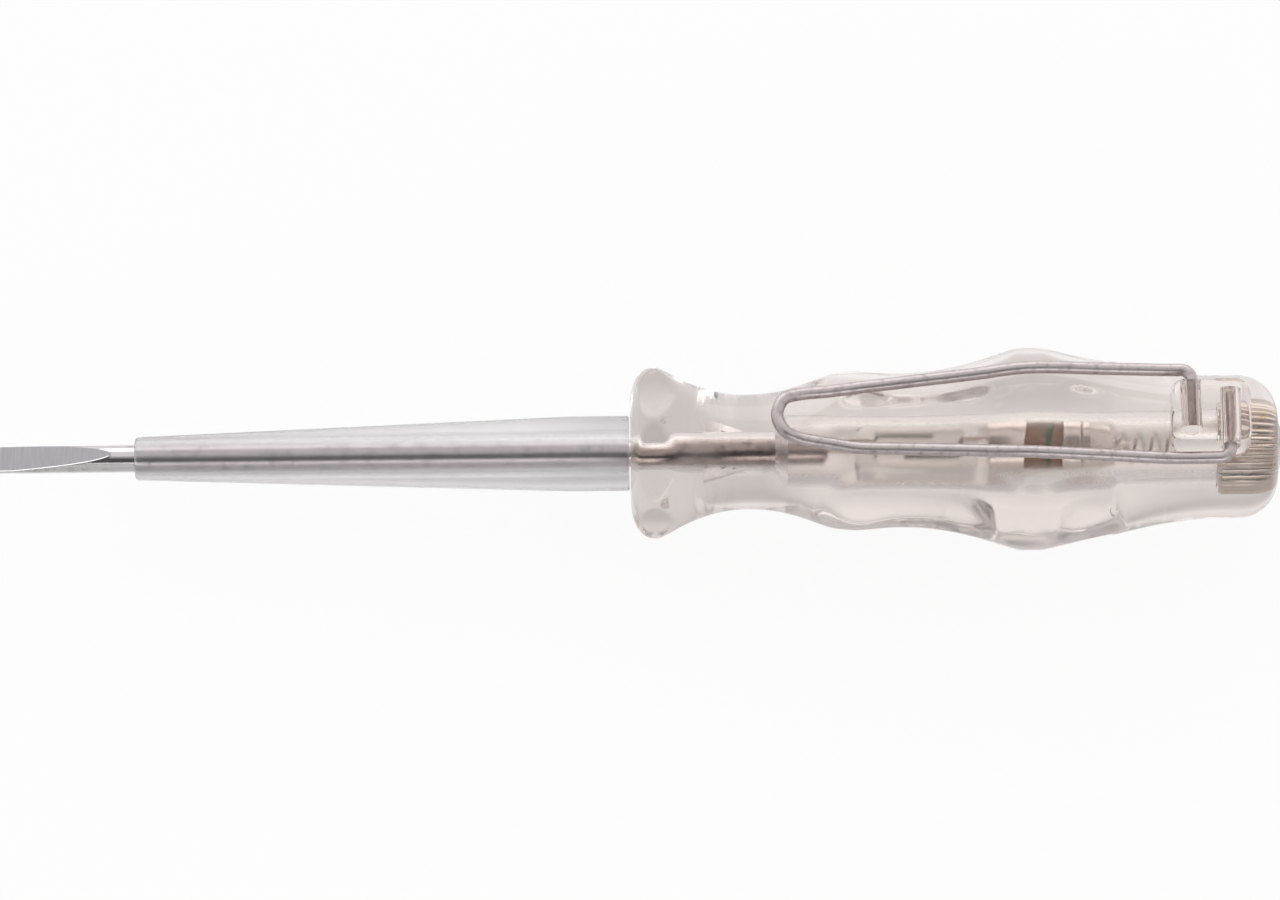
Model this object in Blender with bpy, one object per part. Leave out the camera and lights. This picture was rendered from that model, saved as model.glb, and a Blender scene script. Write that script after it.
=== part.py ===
"""Voltage tester screwdriver with a clear handle, a glow lamp inside and a sprung wire pocket clip.

The pieces are drawn in a tool frame: X runs along the tool from the blade tip to the butt, Z points
to the pocket clip and Y runs across it. The tool lies on the flat of its grip opposite the clip, with
the origin on the resting plane below the middle. Lengths are in metres.
"""
import math

import bmesh
import bpy
import numpy as np
from mathutils import Vector

for item in list(bpy.data.objects):
    bpy.data.objects.remove(item, do_unlink=True)

# Clearances
FIT_GAP = 0.00015
CHAMBER_GAP = 0.0002
NOSE_GAP = 0.00035
CLIP_GAP = 0.0003
CLIP_SIDE_GAP = 0.00053
HINGE_GAP = 0.00033

# Blade: a round rod, ground flat at the tip, with two wings pressed out of its tang
BLADE_DIAMETER = 0.0030
BLADE_BARE_LENGTH = 0.0150
TIP_THICKNESS = 0.0005
TIP_PARALLEL_LENGTH = 0.0015
TIP_GRIND_LENGTH = 0.0124
TIP_HOLLOW = 1.25
WING_BEHIND_SPIGOT = 0.0027
WING_LENGTH = 0.0059
WING_SPAN = 0.0050
WING_REAR_SPAN = 0.0036
WING_THICKNESS = 0.0012
TANG_IN_CHAMBER = 0.0064
TANG_CHAMFER = 0.0003

# Sleeve: tapered over the blade, with a spigot in the handle's front
SLEEVE_LENGTH = 0.0550
SLEEVE_FRONT_DIAMETER = 0.0048
SLEEVE_REAR_DIAMETER = 0.0083
SLEEVE_STRAIGHT_LENGTH = 0.0068
SLEEVE_EDGE_ROUND = 0.0005
SPIGOT_DIAMETER = 0.0060
SPIGOT_LENGTH = 0.0047

# Handle: diameters over its six corners, sizes across its flats, stations behind its front face;
# the clip lies over a flat of the grip and in line with a corner of the guard
HANDLE_LENGTH = 0.0718
FACE_DIAMETER = 0.0111
GUARD_FRONT_ROUND = 0.0026
GUARD_AT = 0.0030
GUARD_DIAMETER = 0.0191
GUARD_FLATS = 0.0170
NECK_AT = 0.0127
NECK_DIAMETER = 0.01275
SHOULDER_AT = 0.0252
SHOULDER_DIAMETER = 0.0183
SHOULDER_FLATS = 0.0170
WAIST_AT = 0.0297
WAIST_DIAMETER = 0.0176
WAIST_FLATS = 0.0166
BULGE_AT = 0.0443
BULGE_DIAMETER = 0.0228
BULGE_FLATS = 0.0220
BULGE_FLAT_LENGTH = 0.0030
FLATS_END_AT = 0.0531
END_FLATS = 0.0188
FLATS_END_STEP = 0.0004
REAR_LENGTH = 0.0069
REAR_DIAMETER = 0.0159
BUTT_ROUND = 0.0044
FLAT_EDGE_SOFTNESS = 0.0001

# Chamber in the handle for the lamp, the resistor and the spring
CHAMBER_BEHIND_WINGS = 0.0030
CHAMBER_CONE_LENGTH = 0.0015

# Clip block on the handle, with a cross hole for each end of the clip
BLOCK_FROM_BUTT = 0.0033
BLOCK_LENGTH = 0.0089
BLOCK_WIDTH = 0.0080
BLOCK_ROOF = 0.00085
BLOCK_DEPTH = 0.0065
BLOCK_ROUND = 0.0017
HOLE_SPACING = 0.0041
HOLE_ABOVE_REAR = 0.00165

# Pocket clip, one bent wire
CLIP_WIRE_DIAMETER = 0.00144
CLIP_BULGE_SPREAD = 0.01005
CLIP_SHOULDER_SPREAD = 0.0072
CLIP_LOOP_SPREAD = 0.0053
CLIP_LOOP_LENGTH = 0.0090
CLIP_LOOP_ROUND = 0.0026
CLIP_LOOP_LIFT = 0.0011
CLIP_BEND_RADIUS = 0.0012
FRONT_END_PAST_MIDDLE = 0.0016
REAR_END_PAST_MIDDLE = 0.0023

# Contact plug, knurled and pressed into the butt
PLUG_DIAMETER = 0.0072
PLUG_LENGTH = 0.0072
PLUG_PROUD = 0.0003
PLUG_FACE_DIAMETER = 0.0042
PLUG_DOME_LENGTH = 0.0009
KNURL_TEETH = 30
KNURL_DEPTH = 0.00025
KNURL_LEAD_LENGTH = 0.0005

# Glow lamp
LAMP_LEAD_LENGTH = 0.0022
LAMP_LEAD_DIAMETER = 0.0005
LAMP_LENGTH = 0.0145
LAMP_DIAMETER = 0.0048
LAMP_WALL = 0.0004
LAMP_END_ROUND = 0.0011
LAMP_END_SOLID = 0.0015
ELECTRODE_DIAMETER = 0.0007
ELECTRODE_GAP = 0.0007
ELECTRODE_BEND_LENGTH = 0.0012
ELECTRODE_SETBACK = 0.0041

# Resistor with pressed end caps
REAR_LEAD_LENGTH = 0.0010
RESISTOR_LENGTH = 0.0074
RESISTOR_DIAMETER = 0.0044
CAP_WALL = 0.0002
CAP_BASE = 0.0006
FRONT_CAP_LENGTH = 0.0034
REAR_CAP_LENGTH = 0.0021

# Contact cup and spring
CUP_DIAMETER = 0.0050
CUP_RIM_LENGTH = 0.0009
CUP_SEAT_MARGIN = 0.0001
CUP_LENGTH = 0.0034
CUP_NOSE_LENGTH = 0.0018
CUP_NOSE_TIP_DIAMETER = 0.0010
SPRING_DIAMETER = 0.0036
SPRING_WIRE_DIAMETER = 0.0004
SPRING_PITCH = 0.0019

# Facets
ROUND_SIDES = 36
ROD_SIDES = 24
RING_STEP = 0.0022
CURL_POINTS = 10
SMOOTH_ANGLE = math.radians(35)

# Stations along the tool, from the blade tip
HANDLE_FRONT = BLADE_BARE_LENGTH + SLEEVE_LENGTH
HANDLE_REAR = HANDLE_FRONT + HANDLE_LENGTH
SPIGOT_END = HANDLE_FRONT + SPIGOT_LENGTH
WING_FRONT = SPIGOT_END + WING_BEHIND_SPIGOT
WING_REAR = WING_FRONT + WING_LENGTH
CHAMBER_FRONT = WING_REAR + CHAMBER_BEHIND_WINGS
TANG_END = CHAMBER_FRONT + TANG_IN_CHAMBER
LAMP_FRONT = TANG_END + LAMP_LEAD_LENGTH
LAMP_REAR = LAMP_FRONT + LAMP_LENGTH
RESISTOR_FRONT = LAMP_REAR + REAR_LEAD_LENGTH
PELLET_FRONT = RESISTOR_FRONT + CAP_BASE + FIT_GAP
PELLET_REAR = PELLET_FRONT + RESISTOR_LENGTH
RESISTOR_REAR = PELLET_REAR + FIT_GAP + CAP_BASE
CUP_FRONT = RESISTOR_REAR + FIT_GAP
CUP_SEAT = CUP_FRONT + CUP_LENGTH
PLUG_REAR = HANDLE_REAR + PLUG_PROUD
PLUG_FRONT = PLUG_REAR - PLUG_LENGTH
BLOCK_MIDDLE = HANDLE_REAR - BLOCK_FROM_BUTT - BLOCK_LENGTH / 2
FRONT_HOLE = BLOCK_MIDDLE - HOLE_SPACING / 2
REAR_HOLE = BLOCK_MIDDLE + HOLE_SPACING / 2

# Sizes that follow from the pieces they fit
HOLE_RADIUS = CLIP_WIRE_DIAMETER / 2 + HINGE_GAP
HOLE_HEIGHT = REAR_DIAMETER / 2 + HOLE_ABOVE_REAR
BLOCK_TOP = HOLE_HEIGHT + HOLE_RADIUS + BLOCK_ROOF
CLIP_HINGE = Vector((BLOCK_MIDDLE, 0, HOLE_HEIGHT))
CLIP_BLOCK_SPREAD = BLOCK_WIDTH + CLIP_WIRE_DIAMETER + 2 * CLIP_SIDE_GAP
CAP_BORE = RESISTOR_DIAMETER + 2 * FIT_GAP
CAP_DIAMETER = CAP_BORE + 2 * CAP_WALL
CUP_SEAT_DIAMETER = SPRING_DIAMETER + 2 * CUP_SEAT_MARGIN
CUP_NOSE_DIAMETER = SPRING_DIAMETER - 2 * SPRING_WIRE_DIAMETER - 2 * NOSE_GAP
CHAMBER_DIAMETER = max(LAMP_DIAMETER, CAP_DIAMETER, CUP_DIAMETER, CUP_SEAT_DIAMETER) + 2 * CHAMBER_GAP

# The handle over its corners: station behind the front face, radius, and how early the change comes
REAR_AT = HANDLE_LENGTH - REAR_LENGTH
CORNER_PROFILE = [
    (GUARD_AT, GUARD_DIAMETER / 2, 0.6),
    (NECK_AT, NECK_DIAMETER / 2, 1.3),
    (SHOULDER_AT, SHOULDER_DIAMETER / 2, 1.0),
    (WAIST_AT, WAIST_DIAMETER / 2, 1.3),
    (BULGE_AT, BULGE_DIAMETER / 2, 0.85),
    (REAR_AT, REAR_DIAMETER / 2, 1.0),
]
# Its flats: station, distance from the axis, and bend; 1 leaves the row at an edge, -1 reaches the next at one
FLAT_PROFILE = [
    (GUARD_AT, GUARD_FLATS / 2, 0),
    (SHOULDER_AT, SHOULDER_FLATS / 2, 1),
    (WAIST_AT, WAIST_FLATS / 2, -1),
    (BULGE_AT - BULGE_FLAT_LENGTH / 2, BULGE_FLATS / 2, 0),
    (BULGE_AT + BULGE_FLAT_LENGTH / 2, BULGE_FLATS / 2, 0.4),
    (FLATS_END_AT, END_FLATS / 2, 0),
    (FLATS_END_AT + FLATS_END_STEP, BULGE_FLATS / 2, 0),
]


def material(name, colour, roughness, metallic=0.0):
    """A Principled material from an sRGB hex colour."""
    def linear(channel):
        value = int(channel, 16) / 255
        return value / 12.92 if value <= 0.04045 else ((value + 0.055) / 1.055) ** 2.4

    made = bpy.data.materials.new(name)
    made.use_nodes = True
    shader = made.node_tree.nodes["Principled BSDF"]
    rgb = [linear(colour[i:i + 2]) for i in (1, 3, 5)]
    shader.inputs["Base Color"].default_value = (*rgb, 1)
    shader.inputs["Roughness"].default_value = roughness
    shader.inputs["Metallic"].default_value = metallic
    return made


# Every piece hangs on this empty, which sets the grip's lowest flat on the resting plane
tool_axis = bpy.data.objects.new("tool_axis", None)
tool_axis.location = (-PLUG_REAR / 2, 0, BULGE_FLATS / 2)
bpy.context.collection.objects.link(tool_axis)


def place(name, data, made=None, origin=(0, 0, 0)):
    """Link an object to the tool, with its material and its origin in the tool frame."""
    thing = bpy.data.objects.new(name, data)
    thing.parent = tool_axis
    thing.location = origin
    bpy.context.collection.objects.link(thing)
    if made:
        data.materials.append(made)
    return thing


def mesh_from(name, points, faces):
    """A smooth-shaded closed mesh with its faces turned outward."""
    shape = bmesh.new()
    corners = [shape.verts.new(point) for point in points]
    for face in faces:
        shape.faces.new([corners[i] for i in face])
    bmesh.ops.recalc_face_normals(shape, faces=shape.faces)
    mesh = bpy.data.meshes.new(name)
    shape.to_mesh(mesh)
    shape.free()
    mesh.shade_smooth()
    mesh.set_sharp_from_angle(angle=SMOOTH_ANGLE)
    return mesh


def loft(name, sections, closed=False):
    """Skin a row of sections, capped at both ends or, when closed, joined back to the first."""
    sides = len(sections[0])
    points = [point for section in sections for point in section]
    spans = len(sections) if closed else len(sections) - 1
    faces = []
    for i in range(spans):
        here = i * sides
        there = (i + 1) % len(sections) * sides
        for j in range(sides):
            k = (j + 1) % sides
            faces.append((here + j, here + k, there + k, there + j))
    if not closed:
        faces.append(range(sides))
        faces.append(range((len(sections) - 1) * sides, len(sections) * sides))
    return mesh_from(name, points, faces)


def circle(x, radius, sides):
    """A round section across the tool's axis."""
    turns = [2 * math.pi * j / sides for j in range(sides)]
    return [(x, radius * math.sin(turn), radius * math.cos(turn)) for turn in turns]


def turned(name, profile, sides=ROD_SIDES, closed=False):
    """Turn a profile of (station, radius) about the tool's axis; closed makes a ring of it."""
    return loft(name, [circle(x, radius, sides) for x, radius in profile], closed)


def arc(centre, radius, start, end, steps):
    """Points of (station, radius) on an arc, with its angles in degrees from the axis."""
    turns = [math.radians(start + (end - start) * i / steps) for i in range(steps + 1)]
    return [(centre[0] + radius * math.cos(turn), centre[1] + radius * math.sin(turn)) for turn in turns]


def box(name, low, high):
    """A plain box between two opposite corners."""
    points = [(x, y, z) for x in (low[0], high[0]) for y in (low[1], high[1]) for z in (low[2], high[2])]
    faces = [(0, 1, 3, 2), (4, 5, 7, 6), (0, 1, 5, 4), (2, 3, 7, 6), (0, 2, 6, 4), (1, 3, 7, 5)]
    return mesh_from(name, points, faces)


def combine(target, tool, operation):
    """Add a Boolean on the target with a hidden tool object."""
    tool.hide_render = True
    tool.display_type = "WIRE"
    step = target.modifiers.new(tool.name, "BOOLEAN")
    step.operation = operation
    step.object = tool


def tube(name, points, diameter, made, sides_step, origin=(0, 0, 0)):
    """A round wire along the points, with filled ends."""
    path = bpy.data.curves.new(name, "CURVE")
    path.dimensions = "3D"
    path.bevel_depth = diameter / 2
    path.bevel_resolution = sides_step
    path.use_fill_caps = True
    spline = path.splines.new("POLY")
    spline.points.add(len(points) - 1)
    for target, point in zip(spline.points, points):
        target.co = (*(Vector(point) - Vector(origin)), 1)
    spline.use_smooth = True
    return place(name, path, made, origin)


def smooth_path(knots, steps):
    """Points on a Catmull-Rom curve through the knots."""
    knots = [Vector(knot) for knot in knots]
    padded = [2 * knots[0] - knots[1], *knots, 2 * knots[-1] - knots[-2]]
    points = []
    for a, b, c, d in zip(padded, padded[1:], padded[2:], padded[3:]):
        for i in range(steps):
            t = i / steps
            points.append(0.5 * (2 * b + (c - a) * t + (2 * a - 5 * b + 4 * c - d) * t ** 2
                                 + (3 * b - a - 3 * c + d) * t ** 3))
    return points + [knots[-1]]


def flat_distance(station):
    """Distance of the handle's flats from its axis at a station."""
    for (start, before, bend), (end, after, _) in zip(FLAT_PROFILE, FLAT_PROFILE[1:]):
        if station <= end:
            t = max(0, (station - start) / (end - start))
            return before + (after - before) * (t + bend * t * (1 - t))
    return FLAT_PROFILE[-1][1]


def corner_radius(station):
    """Radius over the handle's corners, with its rounded front and butt."""
    if station < GUARD_FRONT_ROUND:
        rise = math.sqrt(1 - (1 - station / GUARD_FRONT_ROUND) ** 2)
        return FACE_DIAMETER / 2 + (GUARD_DIAMETER - FACE_DIAMETER) / 2 * rise
    past = station - (HANDLE_LENGTH - BUTT_ROUND)
    if past > 0:
        return REAR_DIAMETER / 2 - BUTT_ROUND + math.sqrt(max(0, BUTT_ROUND ** 2 - past ** 2))
    for (start, before, ease), (end, after, _) in zip(CORNER_PROFILE, CORNER_PROFILE[1:]):
        if station <= end:
            t = max(0, (station - start) / (end - start)) ** ease
            return before + (after - before) * t * t * (3 - 2 * t)
    return CORNER_PROFILE[-1][1]


def handle_radius(station, turn):
    """Radius of the handle at an angle from the clip, the round cut by six softened flats."""
    flat_turn = math.pi / 6 if station < NECK_AT else 0
    to_flat = (turn - flat_turn + math.pi / 6) % (math.pi / 3) - math.pi / 6
    round_part = corner_radius(station)
    flat_part = flat_distance(station) / math.cos(to_flat)
    near = max(0, FLAT_EDGE_SOFTNESS - abs(round_part - flat_part))
    return min(round_part, flat_part) - near ** 2 / FLAT_EDGE_SOFTNESS / 4


def handle_stations():
    """Stations of the handle's rings: close along the rounds, evenly spaced between the profile rows."""
    quarter = [math.radians(22.5 * i) for i in range(5)]
    front = [GUARD_FRONT_ROUND * (1 - math.cos(turn)) for turn in quarter]
    butt = [HANDLE_LENGTH - BUTT_ROUND * (1 - math.sin(turn)) for turn in quarter]
    rows = sorted({row[0] for row in CORNER_PROFILE + FLAT_PROFILE} | {front[-1], butt[0]})
    between = []
    for start, end in zip(rows, rows[1:]):
        count = math.ceil((end - start) / RING_STEP)
        between += [start + (end - start) * i / count for i in range(1, count + 1)]
    return front + between[:-1] + butt


def handle_blank():
    """The handle's outside, before the clip block, the chamber and the holes."""
    sections = []
    turns = [2 * math.pi * j / ROUND_SIDES for j in range(ROUND_SIDES)]
    for station in handle_stations():
        radii = [handle_radius(station, turn) for turn in turns]
        sections.append([(HANDLE_FRONT + station, radius * math.sin(turn), radius * math.cos(turn))
                         for radius, turn in zip(radii, turns)])
    return loft("handle", sections)


def clip_block():
    """The rounded block on the handle that holds the clip's ends."""
    half = Vector((BLOCK_LENGTH / 2, BLOCK_WIDTH / 2, 0))
    middle = Vector((BLOCK_MIDDLE, 0, 0))
    mesh = box("clip_block", middle - half + Vector((0, 0, BLOCK_TOP - BLOCK_DEPTH)),
               middle + half + Vector((0, 0, BLOCK_TOP)))
    block = place("clip_block", mesh)
    rounding = block.modifiers.new("rounding", "BEVEL")
    rounding.width = BLOCK_ROUND
    rounding.segments = 3
    return block


def core():
    """The hollow along the handle: spigot socket, blade hole, chamber and plug bore."""
    beyond = HANDLE_LENGTH
    socket = SPIGOT_DIAMETER / 2 + FIT_GAP
    socket_end = SPIGOT_END + FIT_GAP
    hole = BLADE_DIAMETER / 2 + FIT_GAP
    chamber = CHAMBER_DIAMETER / 2
    bore = PLUG_DIAMETER / 2 + FIT_GAP
    bore_start = PLUG_FRONT - FIT_GAP
    profile = [
        (HANDLE_FRONT - beyond, socket), (socket_end, socket), (socket_end, hole),
        (CHAMBER_FRONT, hole), (CHAMBER_FRONT + CHAMBER_CONE_LENGTH, chamber),
        (bore_start, chamber), (bore_start, bore), (HANDLE_REAR + beyond, bore),
    ]
    return place("core", turned("core", profile, ROUND_SIDES))


def wing_slot():
    """The slot that the tang's wings are moulded into."""
    gap = Vector((FIT_GAP, FIT_GAP, FIT_GAP))
    low = Vector((WING_FRONT, -WING_SPAN / 2, -WING_THICKNESS / 2)) - gap
    high = Vector((WING_REAR, WING_SPAN / 2, WING_THICKNESS / 2)) + gap
    return place("wing_slot", box("wing_slot", low, high))


def clip_hole(name, station, side, past_middle):
    """A blind cross hole in the clip block, from one side to just past the clip's end."""
    sections = []
    for across in (side * BLOCK_WIDTH, -side * (past_middle + HINGE_GAP)):
        ring = circle(0, HOLE_RADIUS, ROD_SIDES)
        sections.append([(station + y, across, HOLE_HEIGHT + z) for _, y, z in ring])
    return place(name, loft(name, sections))


def make_handle():
    clear = material("clear_plastic", "#ddd3ce", 0.08)
    handle = place("handle", handle_blank(), clear)
    combine(handle, clip_block(), "UNION")
    combine(handle, core(), "DIFFERENCE")
    combine(handle, wing_slot(), "DIFFERENCE")
    combine(handle, clip_hole("front_hole", FRONT_HOLE, 1, FRONT_END_PAST_MIDDLE), "DIFFERENCE")
    combine(handle, clip_hole("rear_hole", REAR_HOLE, -1, REAR_END_PAST_MIDDLE), "DIFFERENCE")


def grind_height(x):
    """Half the blade's thickness at a station of its ground tip."""
    radius = BLADE_DIAMETER / 2
    run = (x - TIP_PARALLEL_LENGTH) / (TIP_GRIND_LENGTH - TIP_PARALLEL_LENGTH)
    return TIP_THICKNESS / 2 + (radius - TIP_THICKNESS / 2) * min(1, max(0, run)) ** TIP_HOLLOW


def blade_section(x, radius):
    """A section of the rod, cut by the two ground faces; half of it is turned round for the other."""
    height = grind_height(x)
    ground = x < TIP_GRIND_LENGTH
    edge = math.acos(height / radius) if ground else math.pi / 4
    quarter = ROD_SIDES // 4
    half = []
    for k in range(quarter):
        share = 2 * k / quarter - 1
        turn = share * edge
        flat = (share * radius * math.sin(edge), height)
        half.append(flat if ground else (radius * math.sin(turn), radius * math.cos(turn)))
    for k in range(quarter):
        turn = edge + (math.pi - 2 * edge) * k / quarter
        half.append((radius * math.sin(turn), radius * math.cos(turn)))
    return [(x, y, z) for y, z in half] + [(x, -y, -z) for y, z in half]


def make_blade():
    steel = material("blade_steel", "#b0adb0", 0.3, 1.0)
    radius = BLADE_DIAMETER / 2
    steps = 9
    grind = TIP_GRIND_LENGTH - TIP_PARALLEL_LENGTH
    stations = [0, *(TIP_PARALLEL_LENGTH + grind * i / steps for i in range(steps)), TIP_GRIND_LENGTH]
    sections = [blade_section(x, radius) for x in stations]
    sections.append(blade_section(TANG_END - TANG_CHAMFER, radius))
    sections.append(blade_section(TANG_END, radius - TANG_CHAMFER))
    blade = place("blade", loft("blade", sections), steel)
    outline = [(WING_FRONT, WING_SPAN / 2), (WING_REAR, WING_REAR_SPAN / 2)]
    outline += [(x, -y) for x, y in reversed(outline)]
    sections = [[(x, y, side * WING_THICKNESS / 2) for x, y in outline] for side in (-1, 1)]
    combine(blade, place("wings", loft("wings", sections)), "UNION")


def make_sleeve():
    frosted = material("frosted_sleeve_plastic", "#cfcbcc", 0.55)
    bore = BLADE_DIAMETER / 2 + FIT_GAP
    front = SLEEVE_FRONT_DIAMETER / 2
    rear = SLEEVE_REAR_DIAMETER / 2
    shoulder = HANDLE_FRONT - FIT_GAP
    edge = SLEEVE_EDGE_ROUND
    profile = [(BLADE_BARE_LENGTH, bore)]
    profile += arc((BLADE_BARE_LENGTH + edge, front - edge), edge, 180, 90, 3)
    profile += [
        (HANDLE_FRONT - SLEEVE_STRAIGHT_LENGTH, rear), (shoulder, rear),
        (shoulder, SPIGOT_DIAMETER / 2), (SPIGOT_END, SPIGOT_DIAMETER / 2), (SPIGOT_END, bore),
    ]
    place("blade_sleeve", turned("blade_sleeve", profile, ROUND_SIDES, closed=True), frosted)


def clip_spread(station):
    """Half the distance between the clip's legs at a station behind the handle's front face."""
    rows = [
        (SHOULDER_AT - CLIP_LOOP_LENGTH + CLIP_LOOP_ROUND, CLIP_LOOP_SPREAD),
        (SHOULDER_AT, CLIP_SHOULDER_SPREAD),
        (BULGE_AT, CLIP_BULGE_SPREAD),
        (BLOCK_MIDDLE - BLOCK_LENGTH / 2 - HANDLE_FRONT, CLIP_BLOCK_SPREAD),
    ]
    return np.interp(station, *zip(*rows)) / 2


def clip_height(station):
    """Height at which a leg of the clip just clears the flat below it or the round beside that."""
    away = CLIP_WIRE_DIAMETER / 2 + CLIP_GAP
    over_flat = flat_distance(station) + away
    over_round = math.sqrt((corner_radius(station) + away) ** 2 - clip_spread(station) ** 2)
    return min(over_flat, over_round)


def clip_leg(side, hole, past_middle):
    """Knots of one leg from the loop to its block bend, and the points of its bent end."""
    loop_side = SHOULDER_AT - CLIP_LOOP_LENGTH + CLIP_LOOP_ROUND
    flat_start, flat_end = (BULGE_AT + share * BULGE_FLAT_LENGTH for share in (-0.5, 0.5))
    block = BLOCK_MIDDLE - BLOCK_LENGTH / 2 - HANDLE_FRONT
    bend = CLIP_BEND_RADIUS
    across = CLIP_BLOCK_SPREAD / 2
    rest = clip_height(SHOULDER_AT)
    knots = []
    for station in (loop_side, (loop_side + SHOULDER_AT) / 2):
        lift = CLIP_LOOP_LIFT * ((SHOULDER_AT - station) / CLIP_LOOP_LENGTH) ** 2
        knots.append((station, clip_spread(station), rest + lift))
    seats = [(station, clip_height(station)) for station in (SHOULDER_AT, flat_start, BULGE_AT, flat_end)]
    seats.append((block, HOLE_HEIGHT))
    bridged = [SHOULDER_AT + (flat_start - SHOULDER_AT) * share for share in (0.25, 0.5, 0.75)]
    bridged.append((flat_end + block) / 2)
    for station in sorted([station for station, _ in seats] + bridged):
        straight = np.interp(station, *zip(*seats))
        height = max(straight, clip_height(station)) if station in bridged else straight
        knots.append((station, clip_spread(station), height))
    knots.append((hole - HANDLE_FRONT - bend, across, HOLE_HEIGHT))
    knots = [(HANDLE_FRONT + station, side * y, z) for station, y, z in knots]
    end = [(x, side * y, HOLE_HEIGHT) for x, y in arc((hole - bend, across - bend), bend, 90, 0, 5)]
    end.append((hole, -side * past_middle, HOLE_HEIGHT))
    return knots, end[1:]


def make_clip():
    wire = material("clip_wire", "#a59a98", 0.25, 1.0)
    front_knots, front_end = clip_leg(1, FRONT_HOLE, FRONT_END_PAST_MIDDLE)
    rear_knots, rear_end = clip_leg(-1, REAR_HOLE, REAR_END_PAST_MIDDLE)
    top = clip_height(SHOULDER_AT) + CLIP_LOOP_LIFT
    tip = HANDLE_FRONT + SHOULDER_AT - CLIP_LOOP_LENGTH
    curve = math.sqrt(0.5)
    half = CLIP_LOOP_SPREAD / 2 * curve
    loop = [(tip + CLIP_LOOP_ROUND * (1 - curve), half, top), (tip, 0, top)]
    loop.append((loop[0][0], -half, top))
    middle = smooth_path(front_knots[::-1] + loop + rear_knots, 3)
    tube("pocket_clip", front_end[::-1] + middle + rear_end, CLIP_WIRE_DIAMETER, wire, 3, CLIP_HINGE)


def make_plug():
    nickel = material("plug_metal", "#b8aa9d", 0.3, 1.0)

    def section(x, radius, depth):
        count = 2 * KNURL_TEETH
        ring = []
        for j in range(count):
            turn = 2 * math.pi * j / count
            reach = radius - depth * (j % 2)
            ring.append((x, reach * math.sin(turn), reach * math.cos(turn)))
        return ring

    outer = PLUG_DIAMETER / 2
    root = outer - KNURL_DEPTH
    face = PLUG_FACE_DIAMETER / 2
    sections = [
        section(PLUG_FRONT, root, 0),
        section(PLUG_FRONT + KNURL_LEAD_LENGTH, outer, KNURL_DEPTH),
        section(PLUG_REAR - PLUG_DOME_LENGTH - KNURL_LEAD_LENGTH, outer, KNURL_DEPTH),
        section(PLUG_REAR - PLUG_DOME_LENGTH, root, 0),
        section(PLUG_REAR - PLUG_DOME_LENGTH / 3, (root + face) / 2, 0),
        section(PLUG_REAR, face, 0),
    ]
    place("contact_plug", loft("contact_plug", sections), nickel)


def make_spring():
    wire = material("spring_wire", "#9b9693", 0.3, 1.0)
    radius = (SPRING_DIAMETER - SPRING_WIRE_DIAMETER) / 2
    start = CUP_SEAT + FIT_GAP
    end = PLUG_FRONT - FIT_GAP
    straight = SPRING_WIRE_DIAMETER
    coiled = end - start - 2 * straight
    curls = coiled / SPRING_PITCH
    count = round(curls * CURL_POINTS)
    points = [(start, 0, radius)]
    for i in range(count + 1):
        turn = 2 * math.pi * curls * i / count
        x = start + straight + coiled * i / count
        points.append((x, radius * math.sin(turn), radius * math.cos(turn)))
    points.append((end, *points[-1][1:]))
    apart = [(Vector(points[i]) - Vector(points[j])).length
             for i in range(count) for j in range(i + CURL_POINTS // 2, count)]
    print("contact_spring least gap to itself, mm:", round((min(apart) - SPRING_WIRE_DIAMETER) * 1000, 3))
    tube("contact_spring", points, SPRING_WIRE_DIAMETER, wire, 1)


def make_cup():
    bright = material("contact_cup_metal", "#d4cfca", 0.15, 1.0)
    profile = [
        (CUP_FRONT, CUP_DIAMETER / 2), (CUP_FRONT + CUP_RIM_LENGTH, CUP_DIAMETER / 2),
        (CUP_SEAT, CUP_SEAT_DIAMETER / 2), (CUP_SEAT, CUP_NOSE_DIAMETER / 2),
        (CUP_SEAT + CUP_NOSE_LENGTH, CUP_NOSE_TIP_DIAMETER / 2),
    ]
    place("contact_cup", turned("contact_cup", profile), bright)


def resistor_cap(name, face, way, length):
    """A pressed cup over one end of the pellet; way is the direction from its face to its mouth."""
    bright = material(name + "_metal", "#cfc9c4", 0.18, 1.0)
    mouth = face + way * length
    profile = [
        (face, CAP_DIAMETER / 2), (mouth, CAP_DIAMETER / 2), (mouth, CAP_BORE / 2),
        (face + way * CAP_BASE, CAP_BORE / 2),
    ]
    place(name, turned(name, profile), bright)


def make_resistor():
    brown = material("resistor_lacquer", "#8a6f60", 0.45)
    profile = [(PELLET_FRONT, RESISTOR_DIAMETER / 2), (PELLET_REAR, RESISTOR_DIAMETER / 2)]
    place("resistor_body", turned("resistor_body", profile), brown)
    resistor_cap("resistor_cap_front", RESISTOR_FRONT, 1, FRONT_CAP_LENGTH)
    resistor_cap("resistor_cap_rear", RESISTOR_REAR, -1, REAR_CAP_LENGTH)


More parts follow.
